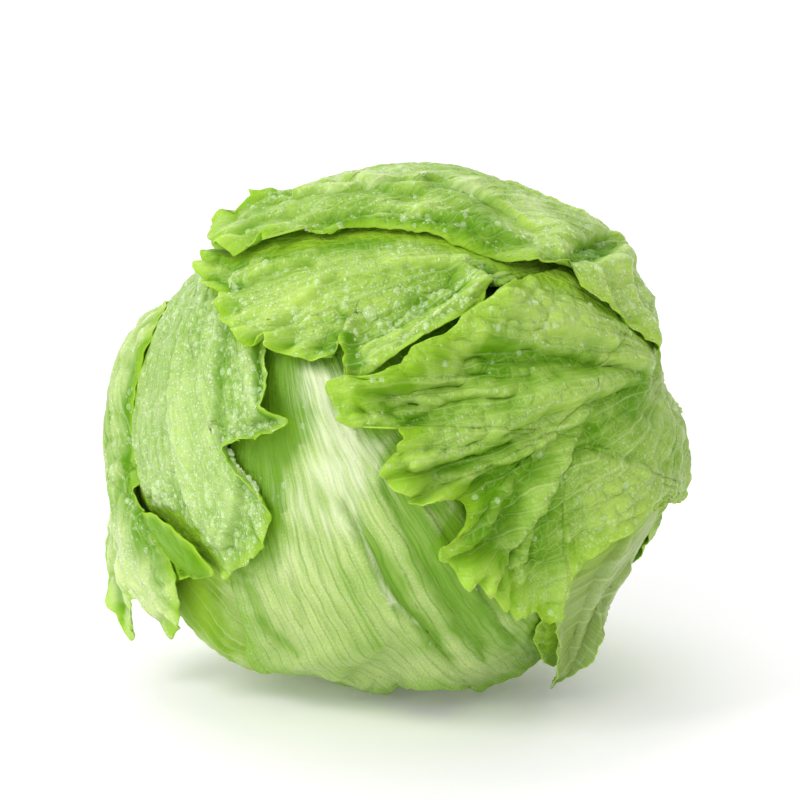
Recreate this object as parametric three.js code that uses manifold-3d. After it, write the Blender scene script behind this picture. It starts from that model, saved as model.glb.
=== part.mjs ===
// Head of crisp round lettuce, resting on its underside with the cut stem to the right and a little behind.
// Millimetres, +Z up. The front of the head faces -Y. The origin is the middle of the flat spot it rests on.
// Each loose outer leaf is a thin blade draped over the leaves beneath it, with a waved margin.
import * as THREE from "three";
import { mergeVertices } from "three/addons/utils/BufferGeometryUtils.js";
import Module from "manifold-3d";

const wasm = await Module();
wasm.setup();

// Driving dimensions
const headWidth = 170;
const headDepth = 168;
const headHeight = 163;
const middleHeight = 79; // of the middle of the head above the surface it rests on
const flatDepth = 79.3; // from the middle down to where the head is pressed flat
const flatBlend = 3; // how softly the ball runs into the flat
const bladeThickness = 1.2;
const clearance = 0.9; // air between one leaf and the next
const innerHeadLevel = -11; // its surface, from the outer skin of the head
const floorGap = 0.4; // under every leaf but the one that the head rests on

const stemRadius = 13;
const stemProud = 2; // of the skin of the head
const stemDepth = 14; // below the skin
const stemGap = 0.6;

const middle = new THREE.Vector3(0, 0, middleHeight);
const meanRadius = (headWidth + headDepth + headHeight) / 6;
const { abs, acos, atan2, ceil, cos, exp, floor, hypot, max, min, PI, sin } = Math;

// Outlines are drawn on the head as seen from the front and a little above, in a square view 800 pixels wide.
const view = { elevation: 12, distance: 900, pixelsPerMm: 3.256, centre: 400, headX: 405, headY: 430 };

const tilt = THREE.MathUtils.degToRad(view.elevation);
const ahead = new THREE.Vector3(0, cos(tilt), -sin(tilt));
const upward = new THREE.Vector3(0, sin(tilt), cos(tilt));
const rightward = new THREE.Vector3(1, 0, 0);
const eye = middle
  .clone()
  .addScaledVector(rightward, (view.centre - view.headX) / view.pixelsPerMm)
  .addScaledVector(upward, (view.headY - view.centre) / view.pixelsPerMm)
  .addScaledVector(ahead, -view.distance);

// A margin point where the view shows it.
// lift is the blade's height there over the head's skin, and ruffle the height of its waves.
function seen(x, y, lift, ruffle, roll) {
  const ray = ahead
    .clone()
    .multiplyScalar(view.distance)
    .addScaledVector(rightward, (x - view.centre) / view.pixelsPerMm)
    .addScaledVector(upward, (view.centre - y) / view.pixelsPerMm)
    .normalize();
  const half = [headWidth, headDepth, headHeight].map((size) => size / 2 + (lift ?? 0));
  const shrink = (v) => new THREE.Vector3(v.x / half[0], v.y / half[1], v.z / half[2]);
  const from = shrink(eye.clone().sub(middle));
  const along = shrink(ray);
  const a = along.lengthSq();
  const b = from.dot(along);
  const reach = b * b - a * (from.lengthSq() - 1);
  const hit = (-b - Math.sqrt(max(reach, 0))) / a;
  const direction = eye.clone().addScaledVector(ray, hit).sub(middle).normalize();
  return { direction, lift, ruffle, roll };
}

// A margin point by degrees round the head, 0 at the front and 90 at the right, and degrees above its middle.
function at(round, above, lift, ruffle, roll) {
  const [lon, lat] = [round, above].map(THREE.MathUtils.degToRad);
  const direction = new THREE.Vector3(sin(lon) * cos(lat), -cos(lon) * cos(lat), sin(lat));
  return { direction, lift, ruffle, roll };
}

const stemWay = at(118, 8).direction;

// A margin point beside the stem, by degrees round it, 0 above it and 90 in front of it.
const besideStem = 3.6;

function byStem(turn, lift, ruffle) {
  const above = new THREE.Vector3(0, 0, 1).addScaledVector(stemWay, -stemWay.z).normalize();
  const inFront = stemWay.clone().cross(above);
  const [out, round] = [(stemRadius + besideStem) / meanRadius, THREE.MathUtils.degToRad(turn)];
  const direction = stemWay
    .clone()
    .multiplyScalar(cos(out))
    .addScaledVector(above, sin(out) * cos(round))
    .addScaledVector(inFront, sin(out) * sin(round));
  return { direction, lift, ruffle: ruffle ?? 0 };
}

// The head's skin: a ball with soft lumps, pressed flat underneath.
const swells = [
  { way: seen(612, 235).direction, high: 3, wide: 26 },
  { way: seen(215, 635).direction, high: 2, wide: 18 },
  { way: seen(335, 700).direction, high: -5, wide: 24 },
  { way: seen(665, 560).direction, high: -3.5, wide: 24 },
  { way: seen(690, 380).direction, high: -4, wide: 16 },
  { way: seen(255, 190).direction, high: -2.5, wide: 20 },
];

function lumps(d) {
  const raised = swells.map(({ way, high, wide }) => {
    const away = way.distanceTo(d) * meanRadius;
    return high * exp(-((away / wide) ** 2));
  });
  const broad = sin(4.1 * d.x + 1.3) * sin(3.7 * d.y + 0.4) + sin(4.6 * d.z + 2.1) * sin(3.3 * d.x - 0.7);
  const small = sin(8.3 * d.y + 2.2) * sin(7.4 * d.z - 1.1) + sin(9.1 * d.x + 0.5) * sin(6.8 * d.z + 1.9);
  return 0.9 * broad + 0.5 * small + raised.reduce((sum, v) => sum + v, 0);
}

const underside = -0.4; // how far down a direction points where the flat can begin

function skinRadius(d) {
  const ball = 1 / hypot(d.x / (headWidth / 2), d.y / (headDepth / 2), d.z / (headHeight / 2)) + lumps(d);
  if (d.z > underside) return ball;
  const flat = flatDepth / -d.z;
  const near = max(flatBlend - abs(ball - flat), 0) / flatBlend;
  return min(ball, flat) - (near * near * flatBlend) / 4;
}

function place(d, height) {
  return d.clone().multiplyScalar(skinRadius(d) + height).add(middle);
}

function smooth(from, to, x) {
  const t = min(max((x - from) / (to - from), 0), 1);
  return t * t * (3 - 2 * t);
}

const mix = (a, b, t) => a + (b - a) * t;

const nearPole = 0.95;

// A leaf's own map: the arc from its centre and the bearing round it, both in radians.
function mapOf(centre) {
  const pole = abs(centre.z) > nearPole ? new THREE.Vector3(0, 1, 0) : new THREE.Vector3(0, 0, 1);
  const east = pole.clone().cross(centre).normalize();
  const north = centre.clone().cross(east).normalize();
  return {
    find(d) {
      const arc = acos(min(max(d.dot(centre), -1), 1));
      return [arc, atan2(d.dot(north), d.dot(east))];
    },
    point(arc, bearing) {
      return centre
        .clone()
        .multiplyScalar(cos(arc))
        .addScaledVector(east, cos(bearing) * sin(arc))
        .addScaledVector(north, sin(bearing) * sin(arc));
    },
  };
}

const bearings = 144; // steps round a leaf's table of heights
const rings = 16; // steps from its centre to its margin
const curveSteps = 12; // between two drawn margin points

function curve(p, t) {
  const [a, b, c, d] = p;
  const square = (2 * a - 5 * b + 4 * c - d) * t * t;
  const cube = (3 * b - a - 3 * c + d) * t * t * t;
  return 0.5 * (2 * b + (c - a) * t + square + cube);
}

// The margin as a table by bearing of its arc, lift, ruffle and roll, and the length run so far.
function marginOf(leaf) {
  const drawn = leaf.outline.map((p) => {
    const [arc, bearing] = leaf.map.find(p.direction);
    return {
      x: arc * cos(bearing),
      y: arc * sin(bearing),
      lift: p.lift ?? leaf.level,
      ruffle: p.ruffle ?? leaf.ruffle,
      roll: p.roll ?? 0,
    };
  });
  const run = [];
  drawn.forEach((_, i) => {
    const four = [-1, 0, 1, 2].map((k) => drawn[(i + k + drawn.length) % drawn.length]);
    for (let step = 0; step < curveSteps; step++) {
      const t = step / curveSteps;
      const x = curve(four.map((p) => p.x), t);
      const y = curve(four.map((p) => p.y), t);
      const between = (key) => mix(four[1][key], four[2][key], t);
      run.push([hypot(x, y), atan2(y, x), between("lift"), between("ruffle"), between("roll")]);
    }
  });
  const table = Array.from({ length: bearings }, () => null);
  run.forEach((from, i) => {
    const to = run[(i + 1) % run.length];
    const turn = atan2(sin(to[1] - from[1]), cos(to[1] - from[1]));
    const first = (from[1] / (2 * PI)) * bearings;
    const last = first + (turn / (2 * PI)) * bearings;
    for (let k = ceil(min(first, last)); k <= max(first, last); k++) {
      const t = last === first ? 0 : (k - first) / (last - first);
      const slot = ((k % bearings) + bearings) % bearings;
      const entry = [0, 2, 3, 4].map((n) => mix(from[n], to[n], t));
      if (!table[slot] || entry[0] > table[slot][0]) table[slot] = entry;
    }
  });
  let length = 0;
  table.forEach((entry, k) => {
    const next = table[(k + 1) % bearings];
    entry.push(length);
    const step = hypot(next[0] - entry[0], ((entry[0] + next[0]) / 2) * ((2 * PI) / bearings));
    length += step * meanRadius;
  });
  return { table, length };
}

function marginAt(leaf, bearing) {
  const k = ((bearing / (2 * PI)) * bearings + bearings) % bearings;
  const [from, to] = [leaf.margin.table[floor(k) % bearings], leaf.margin.table[(floor(k) + 1) % bearings]];
  const t = k - floor(k);
  const run = mix(from[4], to[4] < from[4] ? leaf.margin.length : to[4], t);
  const [arc, lift, ruffle, roll] = [0, 1, 2, 3].map((n) => mix(from[n], to[n], t));
  return { arc, lift, ruffle, roll, run };
}

// A fold or rib pressed into a leaf along a drawn line.
function foldHeight(folds, d) {
  let height = 0;
  for (const fold of folds) {
    let nearest = Infinity;
    let share = 0;
    for (let i = 0; i + 1 < fold.line.length; i++) {
      const [from, to] = [fold.line[i].direction, fold.line[i + 1].direction];
      const way = to.clone().sub(from);
      const t = min(max(d.clone().sub(from).dot(way) / way.lengthSq(), 0), 1);
      const away = from.clone().addScaledVector(way, t).distanceTo(d) * meanRadius;
      if (away < nearest) [nearest, share] = [away, (i + t) / (fold.line.length - 1)];
    }
    height += mix(fold.high, fold.highEnd ?? fold.high, share) * exp(-((nearest / fold.wide) ** 2));
  }
  return height;
}

const ruffleStart = 0.7; // share of the way to the margin where the waves begin

function ruffleHeight(leaf, edge, share) {
  const reach = smooth(ruffleStart, 1, share);
  const swing = (2 * PI * edge.run) / leaf.wave + leaf.phase;
  return edge.ruffle * reach * (0.5 + 0.5 * sin(swing + 1.1 * sin(swing * 0.37 + leaf.phase)));
}

const justBeyond = 1.03;
const justInside = 0.9999;

// The inner face of a laid leaf over a direction, or nothing beyond its margin.
function heightOn(leaf, d) {
  const [arc, bearing] = leaf.map.find(d);
  const edge = marginAt(leaf, bearing);
  const share = arc / edge.arc;
  if (share > justBeyond) return null;
  const ring = min(share, justInside) * rings;
  const k = ((bearing / (2 * PI)) * bearings + bearings) % bearings;
  const [r, s] = [floor(ring), floor(k)];
  const row = (n) => mix(leaf.heights[n][s % bearings], leaf.heights[n][(s + 1) % bearings], k - s);
  return { height: mix(row(r), row(r + 1), ring - r), edge, share };
}

function innerHeadHeight(d) {
  return innerHeadLevel + 0.8 * sin(9 * d.x + 4 * d.z) * sin(7 * d.y - 5 * d.z);
}

// The outermost face so far, over a direction and a little to each side.
const spread = THREE.MathUtils.degToRad(3.6);
const spreadSteps = 6;

function coveredTo(leaf, laid, d) {
  const [arc, bearing] = leaf.map.find(d);
  const base = leaf.map.point(arc, bearing);
  const pole = abs(base.z) > nearPole ? rightward : new THREE.Vector3(0, 0, 1);
  const side = base.clone().cross(pole).normalize();
  const other = base.clone().cross(side);
  let top = innerHeadHeight(d);
  for (let i = 0; i <= spreadSteps; i++) {
    const turn = (2 * PI * i) / spreadSteps;
    const probe = i === spreadSteps ? d : base
      .clone()
      .addScaledVector(side, cos(turn) * spread)
      .addScaledVector(other, sin(turn) * spread)
      .normalize();
    for (const lower of laid) {
      const on = heightOn(lower, probe);
      if (!on) continue;
      top = max(top, on.height + on.edge.ruffle * smooth(ruffleStart, 1, on.share) + bladeThickness);
    }
  }
  return top;
}

// Lays a leaf over those already laid: its own form, raised softly wherever something beneath pushes it out.
const settleRounds = 10;

function lay(leaf, laid) {
  leaf.map = mapOf(leaf.centre.direction);
  leaf.margin = marginOf(leaf);
  const own = [];
  const push = [];
  for (let r = 0; r <= rings; r++) {
    own.push([]);
    push.push([]);
    for (let s = 0; s < bearings; s++) {
      const bearing = (2 * PI * s) / bearings;
      const edge = marginAt(leaf, bearing);
      const share = r / rings;
      const d = leaf.map.point(edge.arc * share, bearing);
      own[r][s] = mix(leaf.level, edge.lift, share ** leaf.flare) + foldHeight(leaf.folds ?? [], d);
      push[r][s] = max(coveredTo(leaf, laid, d) + clearance - own[r][s], 0);
    }
  }
  let soft = push;
  for (let n = 0; n < settleRounds; n++) {
    const hub = soft[1].reduce((sum, v) => sum + v, 0) / bearings;
    soft = soft.map((row, r) =>
      row.map((here, s) => {
        const inner = r === 0 ? hub : soft[r - 1][s];
        const outer = r === rings ? here : soft[r + 1][s];
        const beside = (row[(s + 1) % bearings] + row[(s + bearings - 1) % bearings]) / 2;
        return max((here + inner + outer + beside) / 4, push[r][s]);
      }),
    );
  }
  const hub = max(...soft[0]);
  leaf.heights = own.map((row, r) => row.map((v, s) => v + (r === 0 ? hub : soft[r][s])));
  laid.push(leaf);
}

// The blade as a closed solid: rings of points from the margin in, with half as many where they would crowd.
const shares = [1, 0.94, 0.86, 0.76, 0.62, 0.43, 0.22];
const thinning = [1, 1, 2, 2, 4, 4, 8];
const rollStart = 0.85; // share of the way to the margin where a rolled margin turns away
const rollRadius = 3;
const leastRoll = 1; // degree

function facePoint(leaf, bearing, share) {
  const edge = marginAt(leaf, bearing);
  const flatLaid = (s) => {
    const d = leaf.map.point(edge.arc * s, bearing);
    return place(d, heightOn(leaf, d).height + ruffleHeight(leaf, edge, s));
  };
  if (abs(edge.roll) < leastRoll || share <= rollStart) return flatLaid(share);
  const from = flatLaid(rollStart);
  const tangent = from.clone().sub(flatLaid(rollStart - 0.04)).normalize();
  const outward = from.clone().sub(middle).normalize();
  const normal = outward.addScaledVector(tangent, -outward.dot(tangent)).normalize();
  const turn = (THREE.MathUtils.degToRad(abs(edge.roll)) * (share - rollStart)) / (1 - rollStart);
  return from
    .addScaledVector(tangent, rollRadius * sin(turn))
    .addScaledVector(normal, Math.sign(edge.roll) * rollRadius * (1 - cos(turn)));
}

function bladeSolid(leaf) {
  const ringCounts = thinning.map((n) => leaf.points / n);
  const starts = [];
  const face = [];
  ringCounts.forEach((count, r) => {
    starts.push(face.length);
    for (let i = 0; i < count; i++) {
      const run = (i / count) * leaf.margin.length;
      face.push(facePoint(leaf, bearingAt(leaf, run), shares[r]));
    }
  });
  const hub = face.length;
  face.push(facePoint(leaf, 0, 0.001));
  const triangles = [];
  for (let r = 0; r + 1 < ringCounts.length; r++) {
    const [outer, inner] = [ringCounts[r], ringCounts[r + 1]];
    const ratio = outer / inner;
    for (let i = 0; i < inner; i++) {
      const a = starts[r + 1] + i;
      const b = starts[r + 1] + ((i + 1) % inner);
      for (let k = 0; k < ratio; k++) {
        const p = starts[r] + i * ratio + k;
        const q = starts[r] + ((i * ratio + k + 1) % outer);
        triangles.push(k < ratio / 2 ? [a, p, q] : [b, p, q]);
        if (k + 1 === ceil(ratio / 2)) triangles.push([a, q, b]);
      }
    }
  }
  const last = ringCounts.length - 1;
  for (let i = 0; i < ringCounts[last]; i++) {
    triangles.push([hub, starts[last] + i, starts[last] + ((i + 1) % ringCounts[last])]);
  }
  return thicken(leaf, face, triangles, ringCounts[0]);
}

function bearingAt(leaf, run) {
  const { table, length } = leaf.margin;
  let k = 0;
  while (k + 1 < bearings && table[k + 1][4] <= run) k++;
  const end = k + 1 < bearings ? table[k + 1][4] : length;
  return ((k + (run - table[k][4]) / (end - table[k][4])) * 2 * PI) / bearings;
}

// Gives a face its thickness along its normals, and closes the margin.
function thicken(leaf, face, triangles, marginCount) {
  const normals = face.map(() => new THREE.Vector3());
  for (const [a, b, c] of triangles) {
    const n = face[b].clone().sub(face[a]).cross(face[c].clone().sub(face[a]));
    for (const i of [a, b, c]) normals[i].add(n);
  }
  const outerFace = face.map((p, i) => p.clone().addScaledVector(normals[i].normalize(), bladeThickness));
  face.forEach((p) => (p.z = max(p.z, bladeThickness)));
  outerFace.forEach((p) => (p.z = max(p.z, leaf.restsOnFlat ? 0 : floorGap)));
  const both = [...face, ...outerFace];
  const n = face.length;
  const closed = [];
  for (const [a, b, c] of triangles) {
    closed.push(a, c, b, a + n, b + n, c + n);
  }
  for (let i = 0; i < marginCount; i++) {
    const j = (i + 1) % marginCount;
    closed.push(i, j, j + n, i, j + n, i + n);
  }
  return solidFrom(both, closed);
}

function solidFrom(points, indices) {
  const vertProperties = new Float32Array(points.flatMap((p) => [p.x, p.y, p.z]));
  return new wasm.Manifold(new wasm.Mesh({ numProp: 3, vertProperties, triVerts: new Uint32Array(indices) }));
}

function solidOf(geometry) {
  geometry.deleteAttribute("normal");
  geometry.deleteAttribute("uv");
  const merged = mergeVertices(geometry, 1e-3);
  return new wasm.Manifold(
    new wasm.Mesh({
      numProp: 3,
      vertProperties: merged.attributes.position.array,
      triVerts: new Uint32Array(merged.index.array),
    }),
  );
}

function meshOf(name, solid, colour) {
  const made = solid.getMesh();
  const geometry = new THREE.BufferGeometry();
  geometry.setAttribute("position", new THREE.BufferAttribute(new Float32Array(made.vertProperties), 3));
  geometry.setIndex(new THREE.BufferAttribute(new Uint32Array(made.triVerts), 1));
  geometry.computeVertexNormals();
  const material = new THREE.MeshStandardMaterial({ color: colour, roughness: 0.45, metalness: 0 });
  const mesh = new THREE.Mesh(geometry, material);
  mesh.name = name;
  return mesh;
}

// Outer leaves, from the innermost out.
const leaves = [
  {
    name: "underneath_leaf",
    centre: at(180, -84),
    level: -0.5,
    ruffle: 0.8,
    wave: 22,
    phase: 5.2,
    flare: 3,
    points: 64,
    restsOnFlat: true,
    outline: [
      at(0, -68, -5.5, 0.4),
      at(35, -62, -6),
      at(70, -52, -8),
      at(110, -46, -8.5),
      at(150, -42, -9),
      at(180, -40, -9),
      at(-150, -42, -9),
      at(-110, -46, -9),
      at(-70, -52, -9),
      at(-35, -62, -7, 0.4),
    ],
  },
  {
    name: "lower_left_leaf",
    centre: at(-48, -38),
    level: -8.5,
    ruffle: 0.8,
    wave: 26,
    phase: 0.4,
    flare: 4,
    points: 56,
    outline: [
      at(-100, 2),
      at(-70, 8),
      at(-42, 2),
      at(-20, -12),
      at(-8, -35),
      seen(318, 668, -3),
      at(-8, -72, -5),
      at(-60, -76, -5),
      at(-105, -60),
      at(-118, -25),
    ],
    folds: [{ line: [seen(188, 600), seen(214, 636), seen(254, 658)], high: 11, wide: 13 }],
  },
  {
    name: "back_left_leaf",
    centre: at(-142, 0),
    level: -7.5,
    ruffle: 2,
    wave: 24,
    phase: 1.7,
    flare: 4,
    points: 64,
    outline: [
      at(-92, 30),
      at(-108, 50),
      at(-140, 60),
      at(-172, 52),
      at(-192, 25),
      at(-196, -10),
      at(-184, -42),
      at(-150, -60, -6),
      at(-112, -52),
      at(-92, -32),
      at(-84, 0),
    ],
  },
  {
    name: "front_leaf",
    centre: at(0, -20),
    level: -6.5,
    ruffle: 1,
    wave: 30,
    phase: 2.6,
    flare: 5,
    points: 96,
    outline: [
      seen(250, 320, -7, 0),
      seen(330, 285, -7, 0),
      seen(430, 275, -7, 0),
      seen(520, 300, -7, 0),
      seen(590, 400, -7, 0),
      seen(600, 500, -6, 0),
      seen(590, 575, -5),
      seen(562, 625, -4),
      seen(550, 655, -2),
      seen(518, 680, 1),
      seen(480, 697, 2, 0),
      seen(462, 690, 0, 0),
      seen(430, 684, -2),
      seen(385, 690, -2),
      seen(340, 684, -2),
      seen(300, 668, -2),
      seen(262, 650, -2),
      seen(241, 610, -4),
      seen(228, 570, -6),
      seen(215, 500, -7),
      seen(225, 420, -7),
    ],
    folds: [
      {
        line: [seen(302, 367), seen(322, 430), seen(341, 535), seen(389, 610), seen(453, 682)],
        high: 1.8,
        wide: 11,
      },
      { line: [seen(455, 530), seen(500, 600), seen(515, 660)], high: 1.2, wide: 10 },
      { line: [seen(290, 520), seen(300, 600), seen(318, 650)], high: 1.4, wide: 12 },
    ],
  },
  {
    name: "lower_right_leaf",
    centre: at(80, -40),
    level: -5,
    ruffle: 2.6,
    wave: 15,
    phase: 0.9,
    flare: 4,
    points: 72,
    outline: [
      at(100, -5, -4.5, 0),
      at(70, 0, -4.5, 0),
      at(45, -14, -4.5, 0),
      at(36, -35, -4.5, 0),
      seen(542, 655, -1, 1.5),
      seen(562, 662, 0),
      seen(586, 640, 1),
      seen(604, 618, 2),
      at(80, -52, 2),
      at(100, -60, -1, 1),
      at(130, -60, -4, 1),
      at(152, -44, -4, 1),
      at(154, -22, -4.5, 0),
      at(128, -8, -4.5, 0),
    ],
  },
  {
    name: "left_leaf",
    centre: seen(205, 420),
    level: -4.2,
    ruffle: 0.8,
    wave: 24,
    phase: 4.1,
    flare: 4,
    points: 96,
    outline: [
      seen(262, 300, -5, 0),
      seen(268, 335, -4, 0.5),
      seen(270, 372, -2, 1.5),
      seen(270, 402, -1, 3),
      seen(284, 420, 1, 4),
      seen(262, 438, 0, 4),
      seen(232, 442, -2, 2),
      seen(238, 468, -2, 2),
      seen(256, 492, -2, 3),
      seen(270, 514, -1.5, 1),
      seen(262, 546, -1.5, 1.5),
      seen(246, 562, -1.5, 1.5),
      seen(230, 573, -1.5, 1.5),
      seen(206, 560, -2, 0),
      seen(168, 520, -4, 0),
      at(-88, -16, -4, 0),
      at(-112, 2, -4, 0),
      at(-116, 26, -4, 0),
      at(-98, 46, -4, 0),
      seen(215, 232, -4.5, 0),
    ],
    folds: [
      { line: [seen(262, 318), seen(264, 360), seen(268, 400)], high: 2.2, wide: 4.5 },
      { line: [seen(248, 326), seen(246, 370), seen(250, 412)], high: -1.6, wide: 5 },
      { line: [seen(180, 320), seen(170, 420), seen(192, 510)], high: 1.6, wide: 8 },
      { line: [seen(218, 300), seen(206, 400), seen(218, 480)], high: -1.4, wide: 7 },
      { line: [seen(232, 480), seen(228, 520), seen(216, 552)], high: 1.4, wide: 7 },
    ],
  },
  {
    name: "hanging_right_leaf",
    centre: seen(600, 570),
    level: -2.4,
    ruffle: 0.6,
    wave: 30,
    phase: 0.2,
    flare: 3,
    points: 64,
    outline: [
      seen(540, 520, -4, 0),
      seen(548, 560, -3, 0),
      seen(550, 592, -1, 1.5),
      seen(554, 630, 2, 1.5),
      seen(557, 662, 5, 1),
      seen(552, 692, 8, 0),
      seen(562, 684, 8, 0),
      seen(576, 648, 5, 1),
      seen(592, 622, 3, 1.5),
      at(78, -38, 0),
      at(88, -28, -2, 0),
      at(90, -8, -3, 0),
      at(76, 3, -4, 0),
      seen(585, 470, -4, 0),
    ],
    folds: [
      { line: [seen(640, 500), seen(592, 560), seen(560, 650)], high: 2, highEnd: 3, wide: 7 },
      { line: [seen(600, 600), seen(584, 630)], high: -1.5, wide: 6 },
    ],
  },
  {
    name: "right_back_leaf",
    centre: at(104, -16),
    level: -2.5,
    ruffle: 1.6,
    wave: 20,
    phase: 3.3,
    flare: 4,
    points: 72,
    outline: [
      byStem(112, -3.4),
      at(98, 4, -3.4, 0),
      at(86, -2, -3.4, 0),
      at(78, -12, -3, 0),
      at(82, -22, -2, 0.6),
      at(90, -30, -1.5, 1),
      at(100, -37, -1),
      at(112, -40, -0.5),
      at(130, -38, 0),
      at(144, -24, 0),
      at(142, -8, -2, 0.6),
      byStem(238, -2.4),
      byStem(195, -2.4),
      byStem(152, -2.4),
    ],
  },
  {
    name: "upper_front_leaf",
    centre: seen(360, 290),
    level: -3.6,
    ruffle: 1.4,
    wave: 20,
    phase: 1.2,
    flare: 4,
    points: 88,
    outline: [
      seen(235, 225, -3, 0),
      seen(217, 258, -1, 3),
      seen(208, 283, -1, 4),
      seen(228, 304, -1.5, 2),
      seen(234, 332, -1.5, 2),
      seen(262, 348, -1, 2),
      seen(274, 339, -1, 1.5),
      seen(280, 352, -1, 2),
      seen(307, 358, -0.5, 2),
      seen(332, 360, 0, 3),
      seen(341, 336, -1, 1),
      seen(354, 384, 0.5, 3),
      seen(371, 376, 0.5, 0.5),
      seen(404, 352, 1, 0),
      seen(448, 325, 1, 0),
      seen(480, 307, 1, 0.5),
      seen(490, 288, 0.5, 0.5),
      seen(540, 290, -2, 0),
      seen(556, 262, -4, 0),
      at(25, 82, -4, 0),
      at(-60, 78, -4, 0),
    ],
    folds: [
      { line: [seen(352, 374), seen(400, 344), seen(440, 318), seen(476, 288)], high: 3.2, wide: 6 },
      { line: [seen(356, 340), seen(400, 326), seen(445, 296)], high: -2.2, wide: 6 },
      { line: [seen(300, 262), seen(360, 268), seen(430, 268), seen(500, 272)], high: 1.6, wide: 8 },
      { line: [seen(240, 300), seen(290, 290), seen(330, 300)], high: 1.6, wide: 8 },
      { line: [seen(344, 344), seen(349, 374)], high: 2.4, wide: 4 },
      { line: [seen(330, 338), seen(336, 362)], high: -2, wide: 4.5 },
      { line: [seen(470, 262), seen(486, 276), seen(494, 290)], high: 2, wide: 4 },
    ],
  },
  {
    name: "right_leaf",
    centre: seen(560, 430),
    level: -2.6,
    ruffle: 2,
    wave: 17,
    phase: 0.7,
    flare: 4,
    points: 120,
    outline: [
      byStem(78, -2.4),
      byStem(52, -2.4),
      at(98, 30, -3, 0),
      at(86, 36, -3.4, 0),
      seen(622, 292, -3.4, 0),
      seen(584, 266, -3.4, 0),
      seen(540, 276, -2.4, 0.4),
      seen(497, 296, -1.5, 0.5),
      seen(482, 308, -1, 0.5),
      seen(438, 341, -0.5, 1),
      seen(380, 377, 1, 2),
      seen(344, 384, 1.5, 3),
      seen(334, 397, 2, 4),
      seen(344, 414, 1, 3),
      seen(358, 427, 2, 4),
      seen(380, 417, 1, 3),
      seen(392, 398, 0, 2),
      seen(404, 426, 2, 4),
      seen(388, 450, 0, 4),
      seen(392, 480, 0, 4),
      seen(415, 500, 0, 4),
      seen(436, 491, 0, 3.5),
      seen(460, 506, 0, 4),
      seen(454, 530, 1, 4),
      seen(440, 549, 2, 4),
      seen(456, 568, 1, 3),
      seen(478, 578, 0.5, 3),
      seen(500, 597, 0.5, 3),
      seen(532, 609, 0.5, 2.5),
      seen(552, 600, 1, 1),
      seen(562, 570, 1, 0.4),
      seen(592, 546, 1, 0),
      seen(622, 524, 0.5, 0),
      seen(646, 507, 0, 0),
      seen(668, 501, 0, 0),
      at(86, -14, -1, 0.5),
      at(97, -12, -2, 0),
      byStem(126, -2.4),
    ],
    folds: [
      { line: [seen(640, 352), seen(590, 326), seen(540, 316), seen(495, 318)], high: 3.6, wide: 9 },
      {
        line: [seen(636, 358), seen(600, 356), seen(560, 350), seen(475, 344), seen(452, 358)],
        high: -3.2,
        highEnd: -4,
        wide: 5.5,
      },
      { line: [seen(664, 376), seen(653, 410), seen(649, 445), seen(652, 480)], high: -2.4, wide: 5 },
      { line: [seen(640, 378), seen(560, 392), seen(480, 428), seen(410, 462)], high: 3, wide: 8 },
      { line: [seen(600, 402), seen(540, 434), seen(480, 462), seen(430, 478)], high: -3, wide: 5.5 },
      { line: [seen(592, 408), seen(566, 462), seen(536, 530), seen(524, 566)], high: 3.4, wide: 6.5 },
      { line: [seen(556, 430), seen(524, 480), seen(500, 540)], high: -3.2, wide: 7 },
      { line: [seen(650, 490), seen(615, 515), seen(575, 550)], high: 2.4, wide: 8 },
      { line: [seen(470, 398), seen(430, 410), seen(404, 420)], high: 2.6, wide: 5 },
      { line: [seen(462, 384), seen(420, 394), seen(380, 398)], high: -2.2, wide: 5 },
      { line: [seen(470, 500), seen(480, 530), seen(470, 560)], high: 2.6, wide: 5 },
      { line: [seen(600, 470), seen(560, 520), seen(540, 575)], high: -2.2, wide: 7 },
    ],
  },
  {
    name: "back_leaf",
    centre: at(172, 2),
    level: -2.6,
    ruffle: 2.4,
    wave: 21,
    phase: 2.2,
    flare: 4,
    points: 80,
    outline: [
      byStem(290, -2.4),
      at(134, 28, -2.4, 0),
      at(144, 42, -2),
      at(162, 52),
      at(-176, 54),
      at(-158, 40),
      at(-146, 14),
      at(-150, -14),
      at(-166, -36),
      at(-190, -46),
      at(152, -40),
      at(142, -20, -2),
      at(137, -6, -2.4, 0.4),
      byStem(252, -2.4),
    ],
  },
  {
    name: "left_inner_leaf",
    centre: seen(165, 560),
    level: -2.6,
    ruffle: 0.5,
    wave: 20,
    phase: 3.9,
    flare: 3,
    points: 56,
    outline: [
      seen(128, 440, -2.6, 0),
      seen(140, 500, -1.5, 0),
      seen(160, 512, 0),
      seen(182, 532, 1.2),
      seen(202, 556, 2.5),
      seen(217, 571, 2),
      seen(204, 577, 0),
      seen(184, 577, -1),
      at(-78, -34, -1),
      at(-92, -32, -1),
      at(-104, -25, -1),
      at(-104, 0, -1, 0),
    ],
    folds: [
      { line: [seen(150, 500), seen(168, 548), seen(190, 586)], high: 0.8, wide: 6 },
    ],
  },
  {
    name: "crown_leaf",
    centre: at(60, 70),
    level: -1.6,
    ruffle: 1.4,
    wave: 23,
    phase: 5.6,
    flare: 4,
    points: 112,
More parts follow.
